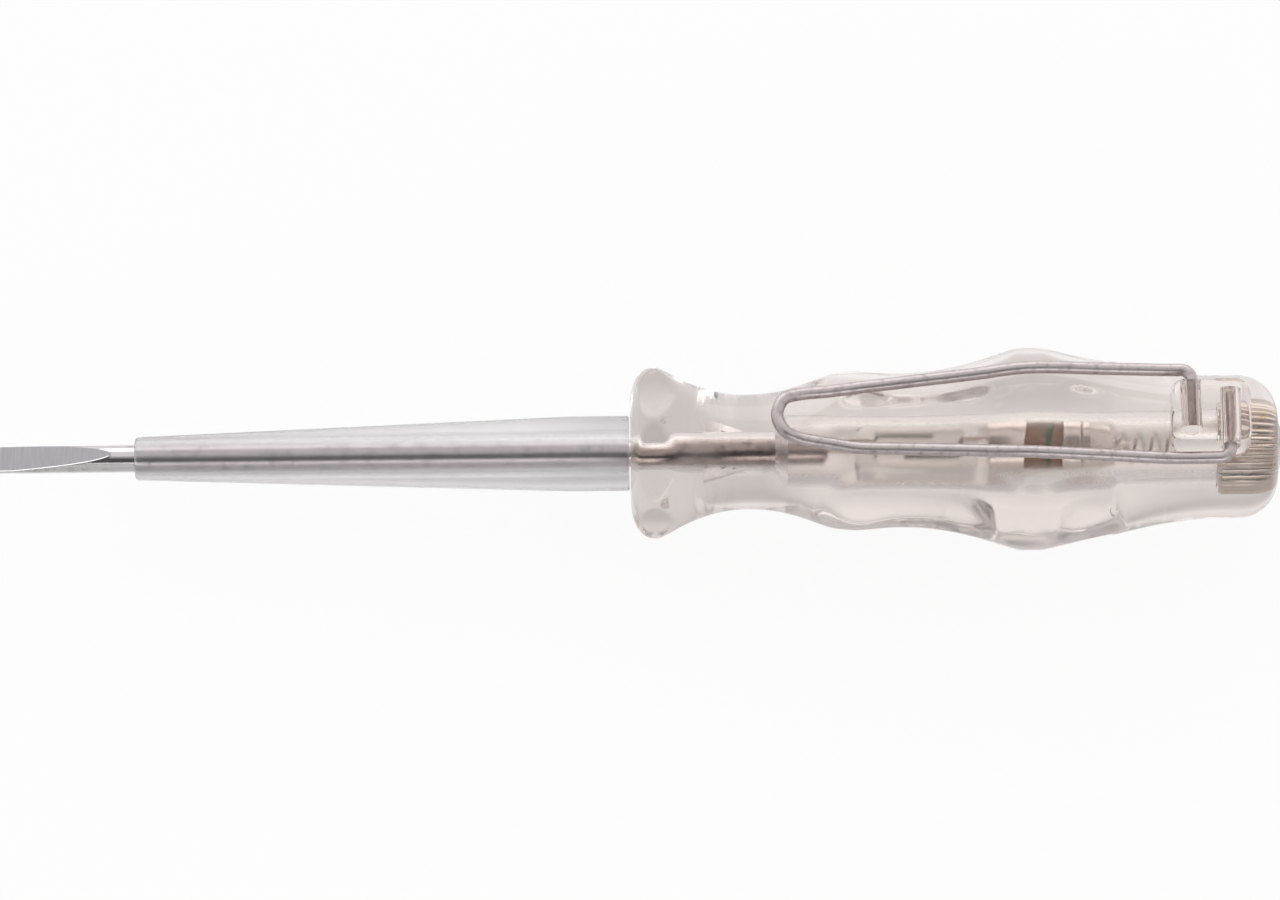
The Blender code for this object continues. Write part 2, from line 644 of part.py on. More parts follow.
def lamp_glass():
    glass = material("lamp_glass", "#e4e0dd", 0.05)
    hole = LAMP_LEAD_DIAMETER / 2 + FIT_GAP
    outer = LAMP_DIAMETER / 2
    inner = outer - LAMP_WALL
    rounding = min(LAMP_END_ROUND, outer - hole - LAMP_WALL)
    cavity = LAMP_END_SOLID + rounding / 2
    profile = [(LAMP_FRONT, hole)]
    profile += arc((LAMP_FRONT + rounding, outer - rounding), rounding, 180, 90, 4)
    profile += arc((LAMP_REAR - rounding, outer - rounding), rounding, 90, 0, 4)
    profile += [
        (LAMP_REAR, hole), (LAMP_REAR - LAMP_END_SOLID, hole), (LAMP_REAR - cavity, inner),
        (LAMP_FRONT + cavity, inner), (LAMP_FRONT + LAMP_END_SOLID, hole),
    ]
    place("lamp_glass", turned("lamp_glass", profile, closed=True), glass)


def lamp_end(end, outer_end, lamp_face, way):
    """A lead through one end of the glass and the electrode behind it, bent to its own side."""
    lead_metal = material("lamp_lead_metal_" + end, "#b59a86", 0.35, 1.0)
    electrode_metal = material("lamp_electrode_metal_" + end, "#8f8a86", 0.4, 1.0)
    radius = LAMP_LEAD_DIAMETER / 2
    lead_end = lamp_face + way * LAMP_END_SOLID
    lead = turned("lamp_lead_" + end, [(outer_end, radius), (lead_end, radius)], ROD_SIDES // 2)
    place("lamp_lead_" + end, lead, lead_metal)
    start = lead_end + way * FIT_GAP
    side = way * (ELECTRODE_DIAMETER + ELECTRODE_GAP) / 2
    length = LAMP_LENGTH - 2 * LAMP_END_SOLID - ELECTRODE_SETBACK
    knots = [
        (start, 0, 0), (start + way * ELECTRODE_DIAMETER / 2, 0, 0),
        (start + way * ELECTRODE_BEND_LENGTH, side, 0), (start + way * length, side, 0),
    ]
    tube("lamp_electrode_" + end, smooth_path(knots, 3), ELECTRODE_DIAMETER, electrode_metal, 2)


def make_lamp():
    lamp_glass()
    lamp_end("front", TANG_END + FIT_GAP, LAMP_FRONT, 1)
    lamp_end("rear", RESISTOR_FRONT - FIT_GAP, LAMP_REAR, -1)


make_handle()
make_blade()
make_sleeve()
make_clip()
make_plug()
make_spring()
make_cup()
make_resistor()
make_lamp()
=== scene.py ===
"""Looks of the voltage tester screwdriver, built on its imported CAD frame.

Pieces are shaped in the tool's own frame, in metres: X runs from the blade tip to the butt along the axis,
and Z points at the clip. The frame's boxes say where each piece starts and ends.
"""

import math

import bmesh
import bpy
import numpy as np
from mathutils import Matrix, Vector


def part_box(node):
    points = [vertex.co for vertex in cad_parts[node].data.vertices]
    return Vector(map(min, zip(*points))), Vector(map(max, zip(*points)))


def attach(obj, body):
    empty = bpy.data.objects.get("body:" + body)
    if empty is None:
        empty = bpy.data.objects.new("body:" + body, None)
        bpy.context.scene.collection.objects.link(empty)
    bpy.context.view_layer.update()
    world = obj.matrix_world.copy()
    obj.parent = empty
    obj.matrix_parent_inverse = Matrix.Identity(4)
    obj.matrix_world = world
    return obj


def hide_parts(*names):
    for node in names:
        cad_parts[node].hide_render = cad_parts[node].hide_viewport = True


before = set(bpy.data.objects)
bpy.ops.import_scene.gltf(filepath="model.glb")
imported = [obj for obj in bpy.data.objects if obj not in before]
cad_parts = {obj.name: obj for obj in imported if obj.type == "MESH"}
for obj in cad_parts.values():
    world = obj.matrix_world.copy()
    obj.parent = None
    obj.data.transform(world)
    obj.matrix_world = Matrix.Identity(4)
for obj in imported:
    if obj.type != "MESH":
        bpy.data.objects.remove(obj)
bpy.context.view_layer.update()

# Where the tool lies: its tip and the height of its axis
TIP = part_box("blade")[0].x
SLEEVE_LOW, SLEEVE_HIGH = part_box("blade_sleeve")
AXIS_HEIGHT = (SLEEVE_LOW.z + SLEEVE_HIGH.z) / 2
TOOL_TO_ROW = Matrix.Translation((TIP, 0, AXIS_HEIGHT))


def span(node):
    """First and last station of a CAD node along the tool, from the blade tip."""
    low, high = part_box(node)
    return low.x - TIP, high.x - TIP


SLEEVE_FRONT, SPIGOT_END = span("blade_sleeve")
TANG_END = span("blade")[1]
HANDLE_FRONT, HANDLE_REAR = span("handle")
PLUG_FRONT, PLUG_REAR = span("contact_plug")
SPRING_FRONT, SPRING_REAR = span("contact_spring")
CUP_FRONT, CUP_NOSE_END = span("contact_cup")
PELLET_FRONT, PELLET_REAR = span("resistor_body")
FRONT_CAP_FACE, FRONT_CAP_MOUTH = span("resistor_cap_front")
REAR_CAP_MOUTH, REAR_CAP_FACE = span("resistor_cap_rear")
LAMP_FRONT, LAMP_REAR = span("lamp_glass")
HANDLE_LENGTH = HANDLE_REAR - HANDLE_FRONT

# Closer than this counts as the same place
TOUCH = 0.000001

# Blade and sleeve
FIT_GAP = 0.00015
# Air left round the blade, and how far the plastic closes over the wings and the roots of the knurl
WETTED = 0.00004
BLADE_RADIUS = 0.0015
TIP_THICKNESS = 0.0005
TIP_PARALLEL_LENGTH = 0.0015
TIP_GRIND_LENGTH = 0.0124
# Below 1 the ground faces bulge a little, and at 1 they are plane
TIP_CROWN = 0.9
# Where the grind runs out, its two edges stay this far from meeting
GRIND_END_COSINE = 0.98
BURR_WIDTH = 0.00014
BURR_HEIGHT = 0.00003
WING_LENGTH = 0.0059
WING_FRONT = SPIGOT_END + 0.0027
WING_REAR = WING_FRONT + WING_LENGTH
WING_HALF_SPAN = 0.0026
WING_REAR_HALF_SPAN = 0.0014
WING_THICKNESS = 0.0012
WING_RIM = 0.0004
# Thickness of a wing's ends as a share of its middle
WING_END_SHARE = 0.55
TANG_CHAMFER = 0.0003
SLEEVE_FRONT_RADIUS = 0.0024
SLEEVE_REAR_RADIUS = 0.00415
SLEEVE_STRAIGHT_LENGTH = 0.0068
SLEEVE_EDGE_ROUND = 0.0005
SLEEVE_REAR_ROUND = 0.0002

# Handle: stations behind its front face
FACE_RADIUS = 0.00555
GUARD_FRONT_ROUND = 0.0026
GUARD_AT = 0.0030
NECK_AT = 0.0127
SHOULDER_AT = 0.0252
WAIST_AT = 0.0297
BULGE_AT = 0.0443
BULGE_FLAT_HALF = 0.0015
FLATS_END_AT = 0.0531
FLATS_RUN_OUT = 0.0004
REAR_AT = HANDLE_LENGTH - 0.0069
GUARD_RADIUS = 0.00955
REAR_RADIUS = 0.00795
BUTT_ROUND = 0.0044
FLAT_EDGE_SOFTNESS = 0.00025
CHAMBER_FRONT = WING_REAR + 0.0030
CHAMBER_CONE_LENGTH = 0.0015
CHAMBER_RADIUS = 0.00275
PLUG_RADIUS = 0.0036

# Over the corners: station, radius, and how early the change comes
CORNER_PROFILE = [
    (GUARD_AT, GUARD_RADIUS, 0.6),
    (NECK_AT, 0.006375, 1.3),
    (SHOULDER_AT, 0.00915, 1.0),
    (WAIST_AT, 0.0088, 1.3),
    (BULGE_AT, 0.0114, 0.85),
    (REAR_AT, REAR_RADIUS, 1.0),
]
# Over the flats: station, distance from the axis, and bend
# A bend of 1 leaves the row at an edge, and -1 reaches the next row at one
FLAT_PROFILE = [
    (GUARD_AT, 0.0085, 0),
    (SHOULDER_AT, 0.0085, 1),
    (WAIST_AT, 0.0083, -1),
    (BULGE_AT - BULGE_FLAT_HALF, 0.0110, 0),
    (BULGE_AT + BULGE_FLAT_HALF, 0.0110, 0.4),
    (FLATS_END_AT, 0.0094, 0),
    (FLATS_END_AT + FLATS_RUN_OUT, 0.0110, 0),
]

# Clip and its block
WIRE_RADIUS = 0.0007
CLIP_CLEARANCE = 0.00102
BLOCK_LENGTH = 0.0089
BLOCK_WIDTH = 0.0080
BLOCK_TOP = 0.0115
BLOCK_DEPTH = 0.0065
BLOCK_ROUND = 0.0017
BLOCK_TO_BUTT = 0.0033
BLOCK_MIDDLE = HANDLE_REAR - BLOCK_TO_BUTT - BLOCK_LENGTH / 2
HOLE_RADIUS = 0.00105
HOLE_HEIGHT = 0.0096
HOLE_SPACING = 0.0041
HOLE_PAST_WIRE = 0.00033
FRONT_HOLE = BLOCK_MIDDLE - HOLE_SPACING / 2
REAR_HOLE = BLOCK_MIDDLE + HOLE_SPACING / 2
FRONT_END_PAST_MIDDLE = 0.0016
REAR_END_PAST_MIDDLE = 0.0023
CLIP_LOOP_SPREAD = 0.0053
CLIP_SHOULDER_SPREAD = 0.0072
CLIP_BULGE_SPREAD = 0.01005
CLIP_BLOCK_SPREAD = 0.0105
CLIP_LOOP_LENGTH = 0.0090
CLIP_LOOP_ROUND = 0.0026
CLIP_LOOP_LIFT = 0.0011
CLIP_BEND_RADIUS = 0.0012
CLIP_EASE = 0.00003

# Parts in the chamber
KNURL_TEETH = 30
KNURL_DEPTH = 0.00025
PLUG_FACE_RADIUS = 0.0021
PLUG_LEAD = 0.0005
PLUG_DOME = 0.0009
PLUG_CHAMFER = 0.0003
PLUG_CHAMFER_LENGTH = 0.0001
LAMP_RADIUS = 0.0024
LAMP_WALL = 0.0004
LAMP_END_SOLID = 0.0015
LAMP_END_ROUND = 0.0011
LEAD_RADIUS = 0.00025
LEAD_FIRST_STEP = 0.0002
ELECTRODE_RADIUS = 0.00035
ELECTRODE_OFFSET = 0.0007
ELECTRODE_CRANK_START = 0.00035
ELECTRODE_CRANK_END = 0.0012
PELLET_RADIUS = 0.0022
PELLET_EDGE_ROUND = 0.0003
PELLET_RING_AT = 0.0047
CAP_RADIUS = 0.00255
CAP_WALL = 0.0002
CAP_BASE = 0.0006
CAP_EDGE = 0.0002
CUP_RADIUS = 0.0025
CUP_RIM_LENGTH = 0.0009
CUP_CONE_END_RADIUS = 0.0019
CUP_SEAT = SPRING_FRONT - FIT_GAP
CUP_SEAT_RADIUS = 0.00178
CUP_NOSE_ROOT_RADIUS = 0.00105
CUP_NOSE_RADIUS = 0.00055
CUP_EDGE = 0.0001
SPRING_RADIUS = 0.0018
SPRING_WIRE_RADIUS = 0.0002
SPRING_PITCH = 0.0019


def linear(colour):
    """Linear RGBA of an sRGB hex colour."""
    parts = [int(colour[i:i + 2], 16) / 255 for i in (1, 3, 5)]
    return (*(c / 12.92 if c <= 0.04045 else ((c + 0.055) / 1.055) ** 2.4 for c in parts), 1)


def per(millimetres):
    """Texture scale that repeats once in this many millimetres."""
    return 1000 / millimetres


def add(tree, kind, settings=(), links=()):
    """Add a node with its socket values or properties, and its links as {socket: (node, output)}."""
    node = tree.nodes.new("ShaderNode" + kind)
    for name, value in dict(settings).items():
        if isinstance(name, int) or name in node.inputs:
            node.inputs[name].default_value = value
        else:
            setattr(node, name, value)
    for name, (source, output) in dict(links).items():
        tree.links.new(source.outputs[output], node.inputs[name])
    return node


def surface(name, settings):
    """A material with its Principled shader set, and the tree, shader and coordinates to dress it with.

    A value that a pattern drives later is what a viewer without patterns shows.
    """
    made = bpy.data.materials.new(name)
    made.use_nodes = True
    tree = made.node_tree
    shader = tree.nodes["Principled BSDF"]
    for socket, value in settings.items():
        shader.inputs[socket].default_value = value
    return made, tree, shader, add(tree, "TexCoord")


def join(tree, shader, socket, source, output):
    """Link a node's output to a shader socket."""
    tree.links.new(source.outputs[output], shader.inputs[socket])


# Materials


def clear_acetate():
    """Cellulose acetate, moulded thick: clear, glossy, wavy from shrinking and faintly warm in depth."""
    made, tree, shader, where = surface("clear_acetate_moulded", {
        "Base Color": linear("#efe6e2"), "IOR": 1.48, "Transmission Weight": 1.0, "Roughness": 0.03,
    })
    # Handling leaves hazy patches some millimetres wide
    haze = add(tree, "TexNoise", {"Scale": per(4), "Detail": 6, "Roughness": 0.65},
               {"Vector": (where, "Object")})
    rough = add(tree, "MapRange", {"From Min": 0.4, "From Max": 0.75, "To Min": 0.05, "To Max": 0.14},
                {"Value": (haze, "Fac")})
    join(tree, shader, "Roughness", rough, "Result")
    # Sink waves of the thick wall, and fine scratches along the grip drawn three times their real width
    waves = add(tree, "TexNoise", {"Scale": per(6), "Detail": 1}, {"Vector": (where, "Object")})
    wavy = add(tree, "Bump", {"Strength": 0.25, "Distance": 0.00012}, {"Height": (waves, "Fac")})
    stretch = add(tree, "Mapping", {"Scale": (0.06, 1, 1)}, {"Vector": (where, "Object")})
    scratches = add(tree, "TexNoise", {"Scale": per(0.25), "Detail": 2}, {"Vector": (stretch, "Vector")})
    fine = add(tree, "Bump", {"Strength": 0.05, "Distance": 0.00002},
               {"Height": (scratches, "Fac"), "Normal": (wavy, "Normal")})
    join(tree, shader, "Normal", fine, "Normal")
    depth = add(tree, "VolumeAbsorption", {"Color": linear("#e6dddb"), "Density": 4.0})
    tree.links.new(depth.outputs["Volume"], tree.nodes["Material Output"].inputs["Volume"])
    return made


def cored_acetate():
    """The same plastic where it shrank onto core pins: grainy and half matt, so pieces inside look soft."""
    made, tree, shader, where = surface("clear_acetate_cored", {
        "Base Color": linear("#f8f3f0"), "IOR": 1.48, "Transmission Weight": 1.0, "Roughness": 0.2,
    })
    # Grain of about 0.1 mm is drawn at 0.35 mm so that it shows
    grain = add(tree, "TexNoise", {"Scale": per(0.35), "Detail": 4, "Roughness": 0.6},
                {"Vector": (where, "Object")})
    rough = add(tree, "MapRange", {"To Min": 0.25, "To Max": 0.5}, {"Value": (grain, "Fac")})
    join(tree, shader, "Roughness", rough, "Result")
    grainy = add(tree, "Bump", {"Strength": 0.6, "Distance": 0.00005}, {"Height": (grain, "Fac")})
    join(tree, shader, "Normal", grainy, "Normal")
    return made


def frosted_polyamide():
    """Natural polyamide from a spark-eroded mould: milky and finely pitted, the blade a soft band inside."""
    made, tree, shader, where = surface("frosted_polyamide_moulded", {
        "Base Color": linear("#f2eff0"), "IOR": 1.53, "Transmission Weight": 0.97, "Roughness": 0.3,
    })
    cloud = add(tree, "TexNoise", {"Scale": per(3), "Detail": 4}, {"Vector": (where, "Object")})
    tone = add(tree, "Mix", {"data_type": "RGBA", 6: linear("#e9e6e7"), 7: linear("#f4f2f3")},
               {0: (cloud, "Fac")})
    join(tree, shader, "Base Color", tone, 2)
    # Eroded pits are about 0.05 mm across and are drawn at 0.2 mm so that they show
    pits = add(tree, "TexNoise", {"Scale": per(0.2), "Detail": 3, "Roughness": 0.6},
               {"Vector": (where, "Object")})
    rough = add(tree, "MapRange", {"To Min": 0.2, "To Max": 0.3}, {"Value": (pits, "Fac")})
    join(tree, shader, "Roughness", rough, "Result")
    pitted = add(tree, "Bump", {"Strength": 0.22, "Distance": 0.00005}, {"Height": (pits, "Fac")})
    join(tree, shader, "Normal", pitted, "Normal")
    return made


def ground_steel():
    """Chrome vanadium steel, ground across the blade: satin, with fine lines from edge to edge."""
    made, tree, shader, where = surface("chrome_vanadium_steel_ground", {"Metallic": 1.0, "Roughness": 0.36})
    # Grit lines of about 0.03 mm are drawn at 0.12 mm so that they show
    stretch = add(tree, "Mapping", {"Scale": (1, 0.04, 0.04)}, {"Vector": (where, "Object")})
    lines = add(tree, "TexNoise", {"Scale": per(0.12), "Detail": 4, "Roughness": 0.7},
                {"Vector": (stretch, "Vector")})
    tone = add(tree, "Mix", {"data_type": "RGBA", 6: linear("#9a979a"), 7: linear("#c6c3c6")},
               {0: (lines, "Fac")})
    join(tree, shader, "Base Color", tone, 2)
    rough = add(tree, "MapRange", {"To Min": 0.36, "To Max": 0.5}, {"Value": (lines, "Fac")})
    join(tree, shader, "Roughness", rough, "Result")
    scored = add(tree, "Bump", {"Strength": 0.1, "Distance": 0.00002}, {"Height": (lines, "Fac")})
    join(tree, shader, "Normal", scored, "Normal")
    return made


def drawn_steel(name, light, dark, roughest, spot):
    """Bright drawn steel: polished lengthwise by the die, with faint draw marks and small dull spots."""
    made, tree, shader, where = surface(name, {"Metallic": 1.0, "Roughness": 0.2})
    # Die marks of about 0.02 mm are drawn at 0.1 mm so that they show
    stretch = add(tree, "Mapping", {"Scale": (0.03, 1, 1)}, {"Vector": (where, "Object")})
    marks = add(tree, "TexNoise", {"Scale": per(0.1), "Detail": 3}, {"Vector": (stretch, "Vector")})
    spots = add(tree, "TexNoise", {"Scale": per(spot), "Detail": 5, "Roughness": 0.7},
                {"Vector": (where, "Object")})
    dull = add(tree, "MapRange", {"From Min": 0.5, "From Max": 0.72}, {"Value": (spots, "Fac")})
    tone = add(tree, "Mix", {"data_type": "RGBA", 6: linear(light), 7: linear(dark)}, {0: (dull, "Result")})
    join(tree, shader, "Base Color", tone, 2)
    rough = add(tree, "MapRange", {"To Min": roughest * 0.4, "To Max": roughest}, {"Value": (spots, "Fac")})
    join(tree, shader, "Roughness", rough, "Result")
    drawn = add(tree, "Bump", {"Strength": 0.05, "Distance": 0.00001}, {"Height": (marks, "Fac")})
    join(tree, shader, "Normal", drawn, "Normal")
    return made


def plated_brass(name, plate, brass, worn):
    """Turned brass with thin nickel plate: bright, a little golden where the plate is thin or rubbed."""
    made, tree, shader, where = surface(name, {"Metallic": 1.0, "Roughness": 0.2})
    rubbed = add(tree, "TexNoise", {"Scale": per(1.2), "Detail": 5, "Roughness": 0.65},
                 {"Vector": (where, "Object")})
    thin = add(tree, "MapRange", {"From Min": 0.62 - worn, "From Max": 0.8 - worn},
               {"Value": (rubbed, "Fac")})
    tone = add(tree, "Mix", {"data_type": "RGBA", 6: linear(plate), 7: linear(brass)}, {0: (thin, "Result")})
    join(tree, shader, "Base Color", tone, 2)
    # Tool marks of about 0.04 mm are drawn at 0.15 mm so that they show
    stretch = add(tree, "Mapping", {"Scale": (1, 0.05, 0.05)}, {"Vector": (where, "Object")})
    rings = add(tree, "TexNoise", {"Scale": per(0.15), "Detail": 2}, {"Vector": (stretch, "Vector")})
    rough = add(tree, "MapRange", {"To Min": 0.1, "To Max": 0.34}, {"Value": (rings, "Fac")})
    join(tree, shader, "Roughness", rough, "Result")
    cut = add(tree, "Bump", {"Strength": 0.15, "Distance": 0.00001}, {"Height": (rings, "Fac")})
    join(tree, shader, "Normal", cut, "Normal")
    return made


def resistor_lacquer():
    """Brown lacquer dipped on a ceramic rod: half gloss with grains in it, and one green ring brushed on."""
    made, tree, shader, where = surface("resistor_lacquer_dipped", {"Roughness": 0.4, "Coat Weight": 0.3})
    grains = add(tree, "TexNoise", {"Scale": per(0.3), "Detail": 4}, {"Vector": (where, "Object")})
    brown = add(tree, "Mix", {"data_type": "RGBA", 6: linear("#8c6650"), 7: linear("#b08b72")},
                {0: (grains, "Fac")})
    # The ring is 0.45 mm wide, with edges that waver by a twentieth of a millimetre
    along = add(tree, "SeparateXYZ", {}, {"Vector": (where, "Object")})
    waver = add(tree, "Math", {"operation": "MULTIPLY_ADD", 1: 0.0001}, {0: (grains, "Fac"), 2: (along, "X")})
    middle = TIP + PELLET_FRONT + PELLET_RING_AT
    off = add(tree, "Math", {"operation": "SUBTRACT", 1: middle}, {0: (waver, "Value")})
    away = add(tree, "Math", {"operation": "ABSOLUTE"}, {0: (off, "Value")})
    ring = add(tree, "MapRange", {"From Min": 0.0002, "From Max": 0.00025, "To Min": 1, "To Max": 0},
               {"Value": (away, "Value")})
    tone = add(tree, "Mix", {"data_type": "RGBA", 7: linear("#2c6236")}, {0: (ring, "Result"), 6: (brown, 2)})
    join(tree, shader, "Base Color", tone, 2)
    rough = add(tree, "MapRange", {"To Min": 0.3, "To Max": 0.5}, {"Value": (grains, "Fac")})
    join(tree, shader, "Roughness", rough, "Result")
    lumpy = add(tree, "Bump", {"Strength": 0.2, "Distance": 0.00003}, {"Height": (grains, "Fac")})
    join(tree, shader, "Normal", lumpy, "Normal")
    return made


def lamp_glass():
    """Lead glass tube, cut and closed in a flame: clear and bright, with slight ripples near its ends."""
    made, tree, shader, where = surface("lead_glass_flame_closed", {
        "Base Color": linear("#fbfaf9"), "IOR": 1.52, "Transmission Weight": 1.0, "Roughness": 0.01,
    })
    ripples = add(tree, "TexNoise", {"Scale": per(2), "Detail": 1}, {"Vector": (where, "Object")})
    rippled = add(tree, "Bump", {"Strength": 0.2, "Distance": 0.00004}, {"Height": (ripples, "Fac")})
    join(tree, shader, "Normal", rippled, "Normal")
    rough = add(tree, "MapRange", {"To Min": 0.0, "To Max": 0.03}, {"Value": (ripples, "Fac")})
    join(tree, shader, "Roughness", rough, "Result")
    return made


def coated_nickel():
    """Nickel rod with a dull emissive coat: grey, powdery and patchy."""
    made, tree, shader, where = surface("nickel_coated", {"Roughness": 0.6})
    powder = add(tree, "TexNoise", {"Scale": per(0.2), "Detail": 5}, {"Vector": (where, "Object")})
    tone = add(tree, "Mix", {"data_type": "RGBA", 6: linear("#cbc5c0"), 7: linear("#e2ddd8")},
               {0: (powder, "Fac")})
    join(tree, shader, "Base Color", tone, 2)
    dusty = add(tree, "Bump", {"Strength": 0.3, "Distance": 0.00002}, {"Height": (powder, "Fac")})
    join(tree, shader, "Normal", dusty, "Normal")
    return made


def white_paper():
    """Matt white studio paper: white to the eye and in gloss and glass, with the tool's soft shadow on it,
    and with a painted pool of light under the handle and a painted shadow round it that gloss and glass see.
    """
    made, tree, shader, where = surface("studio_paper", {"Base Color": linear("#f7f6f6"), "Roughness": 0.9})
    fibres = add(tree, "TexNoise", {"Scale": per(1.5), "Detail": 4}, {"Vector": (where, "Object")})
    rough = add(tree, "MapRange", {"To Min": 0.8, "To Max": 0.95}, {"Value": (fibres, "Fac")})
    join(tree, shader, "Roughness", rough, "Result")
    ray = add(tree, "LightPath")
    seen = add(tree, "Math", {"operation": "MAXIMUM"}, {0: (ray, "Is Camera Ray"), 1: (ray, "Is Glossy Ray")})
    shown = add(tree, "Math", {"operation": "MAXIMUM"}, {0: (seen, "Value"), 1: (ray, "Is Transmission Ray")})
    share = add(tree, "Math", {"operation": "MULTIPLY", 1: 0.92}, {0: (shown, "Value")})
    # Painted light: gloss and glass see a painted pool of light on the paper under the clear handle, standing
    # in for the light the handle gathers, with a painted shadow border that ends on the lamp's side
    spot = add(tree, "NewGeometry")
    parts = add(tree, "SeparateXYZ", {}, {"Vector": (spot, "Position")})
    away = add(tree, "Math", {"operation": "ABSOLUTE"}, {0: (parts, "Y")})
    under = add(tree, "MapRange", {"From Min": 0.003, "From Max": 0.008, "To Min": 1.0, "To Max": 0.62},
                {"Value": (away, "Value")})
    # The painted pool is dimmer under the thin neck and the guard, which stand clear of the paper
    before_neck = TIP + HANDLE_FRONT + NECK_AT / 2
    past = add(tree, "Math", {"operation": "SUBTRACT", 1: before_neck}, {0: (parts, "X")})
    either = add(tree, "Math", {"operation": "ABSOLUTE"}, {0: (past, "Value")})
    clear = add(tree, "MapRange", {"From Min": 0.009, "From Max": 0.018, "To Min": 0.8, "To Max": 1.0},
                {"Value": (either, "Value")})
    painted_light_pool = add(tree, "Math", {"operation": "MULTIPLY"}, {0: (under, "Result"), 1: (clear, "Result")})
    # Painted shadow: the paper's glow stays dim on the near side of the tool and comes back to full past the
    # border on the lamp's side
    painted_shadow_side = add(tree, "MapRange", {"From Min": 0.009, "From Max": 0.016, "To Min": 0.6, "To Max": 1.0},
                 {"Value": (parts, "Y")})
    band = add(tree, "Math", {"operation": "MAXIMUM"}, {0: (painted_light_pool, "Value"), 1: (painted_shadow_side, "Result")})
    # The camera sees the paper evenly white, and only gloss and glass see the painted light and shadow
    level = add(tree, "Math", {"operation": "MAXIMUM"}, {0: (band, "Value"), 1: (ray, "Is Camera Ray")})
    white = add(tree, "Emission", {"Color": linear("#ffffff")}, {"Strength": (level, "Value")})
    both = add(tree, "MixShader", {}, {0: (share, "Value"), 1: (shader, "BSDF"), 2: (white, "Emission")})
    tree.links.new(both.outputs["Shader"], tree.nodes["Material Output"].inputs["Surface"])
    return made


# Shaping


def mesh_from(name, points, faces, sharp=40):
    """A closed mesh with its faces turned outward, smooth except at edges sharper than the angle."""
    shape = bmesh.new()
    corners = [shape.verts.new(point) for point in points]
    for face in faces:
        shape.faces.new([corners[i] for i in face])
    bmesh.ops.recalc_face_normals(shape, faces=shape.faces)
    mesh = bpy.data.meshes.new(name)
    shape.to_mesh(mesh)
    shape.free()
    mesh.shade_smooth()
    mesh.set_sharp_from_angle(angle=math.radians(sharp))
    return mesh


def loft(name, sections, closed=False, sharp=40):
    """Skin a row of sections, capped at both ends or, when closed, joined back to the first."""
    sides = len(sections[0])
    points = [point for section in sections for point in section]
    spans = len(sections) if closed else len(sections) - 1
    faces = []
    for i in range(spans):
        here = i * sides
        there = (i + 1) % len(sections) * sides
        for j in range(sides):
            k = (j + 1) % sides
            faces.append((here + j, here + k, there + k, there + j))
    if not closed:
        faces.append(range(sides))
        faces.append(range((len(sections) - 1) * sides, len(sections) * sides))
    return mesh_from(name, points, faces, sharp)


def circle(x, radius, sides):
    """A round section across the tool's axis."""
    turns = [2 * math.pi * j / sides for j in range(sides)]
    return [(x, radius * math.sin(turn), radius * math.cos(turn)) for turn in turns]


def turned(name, profile, sides=72, closed=False):
    """Turn a profile of (station, radius) about the tool's axis; closed makes a ring of it."""
    return loft(name, [circle(x, radius, sides) for x, radius in profile], closed)


def arc(centre, radius, start, end, steps=6):
    """Points of (station, radius) on an arc, with its angles in degrees from the axis."""
    turns = [math.radians(start + (end - start) * i / steps) for i in range(steps + 1)]
    return [(centre[0] + radius * math.cos(turn), centre[1] + radius * math.sin(turn)) for turn in turns]


def smooth_path(knots, steps):
    """Points on a Catmull-Rom curve through the knots."""
    knots = [Vector(knot) for knot in knots]
    padded = [2 * knots[0] - knots[1], *knots, 2 * knots[-1] - knots[-2]]
    points = []
    for a, b, c, d in zip(padded, padded[1:], padded[2:], padded[3:]):
        for i in range(steps):
            t = i / steps
            points.append(0.5 * (2 * b + (c - a) * t + (2 * a - 5 * b + 4 * c - d) * t ** 2
                                 + (3 * b - a - 3 * c + d) * t ** 3))
    return points + [knots[-1]]


def wire(name, points, radius, sides=20, round_end=0.35):
    """A round wire along the points, with its cut ends eased by a share of the radius."""
    points = [Vector(point) for point in points]
    easing = radius * round_end
    first = (points[1] - points[0]).normalized()
    last = (points[-1] - points[-2]).normalized()
    points = [points[0], points[0] + first * easing, *points[1:-1], points[-1] - last * easing, points[-1]]
    reach = [radius - easing] + [radius] * (len(points) - 2) + [radius - easing]
    side = first.orthogonal().normalized()
    before = first
    sections = []
    for i, point in enumerate(points):
        ahead = (points[min(i + 1, len(points) - 1)] - points[max(i - 1, 0)]).normalized()
        side = before.rotation_difference(ahead) @ side
        other = ahead.cross(side)
        before = ahead
        turns = [2 * math.pi * j / sides for j in range(sides)]
        sections.append([point + (side * math.cos(turn) + other * math.sin(turn)) * reach[i]
                         for turn in turns])
    return loft(name, sections, sharp=50)


def box(name, low, high, rounding):
    """A box between two opposite corners, with rounded edges."""
    shape = bmesh.new()
    shift = Matrix.Translation((low + high) / 2)
    bmesh.ops.create_cube(shape, size=1, matrix=shift @ Matrix.Diagonal((*(high - low), 1)))
    bmesh.ops.bevel(shape, geom=shape.edges[:], offset=rounding, segments=5, profile=0.5, affect="EDGES")
    mesh = bpy.data.meshes.new(name)
    shape.to_mesh(mesh)
    shape.free()
    return mesh


def carved(name, mesh, steps, sharp=30):
    """The mesh after a row of (tool mesh, operation) Booleans."""
    target = bpy.data.objects.new(name, mesh)
    bpy.context.collection.objects.link(target)
    tools = []
    for tool_mesh, operation in steps:
        tool = bpy.data.objects.new(tool_mesh.name, tool_mesh)
        bpy.context.collection.objects.link(tool)
        tools.append(tool)
        step = target.modifiers.new(tool_mesh.name, "BOOLEAN")
        step.operation = operation
        step.object = tool
    shown = target.evaluated_get(bpy.context.evaluated_depsgraph_get())
    result = bpy.data.meshes.new_from_object(shown)
    for spare in [target, *tools]:
        bpy.data.objects.remove(spare)
    result.name = name
    result.shade_smooth()
    result.set_sharp_from_angle(angle=math.radians(sharp))
    return result


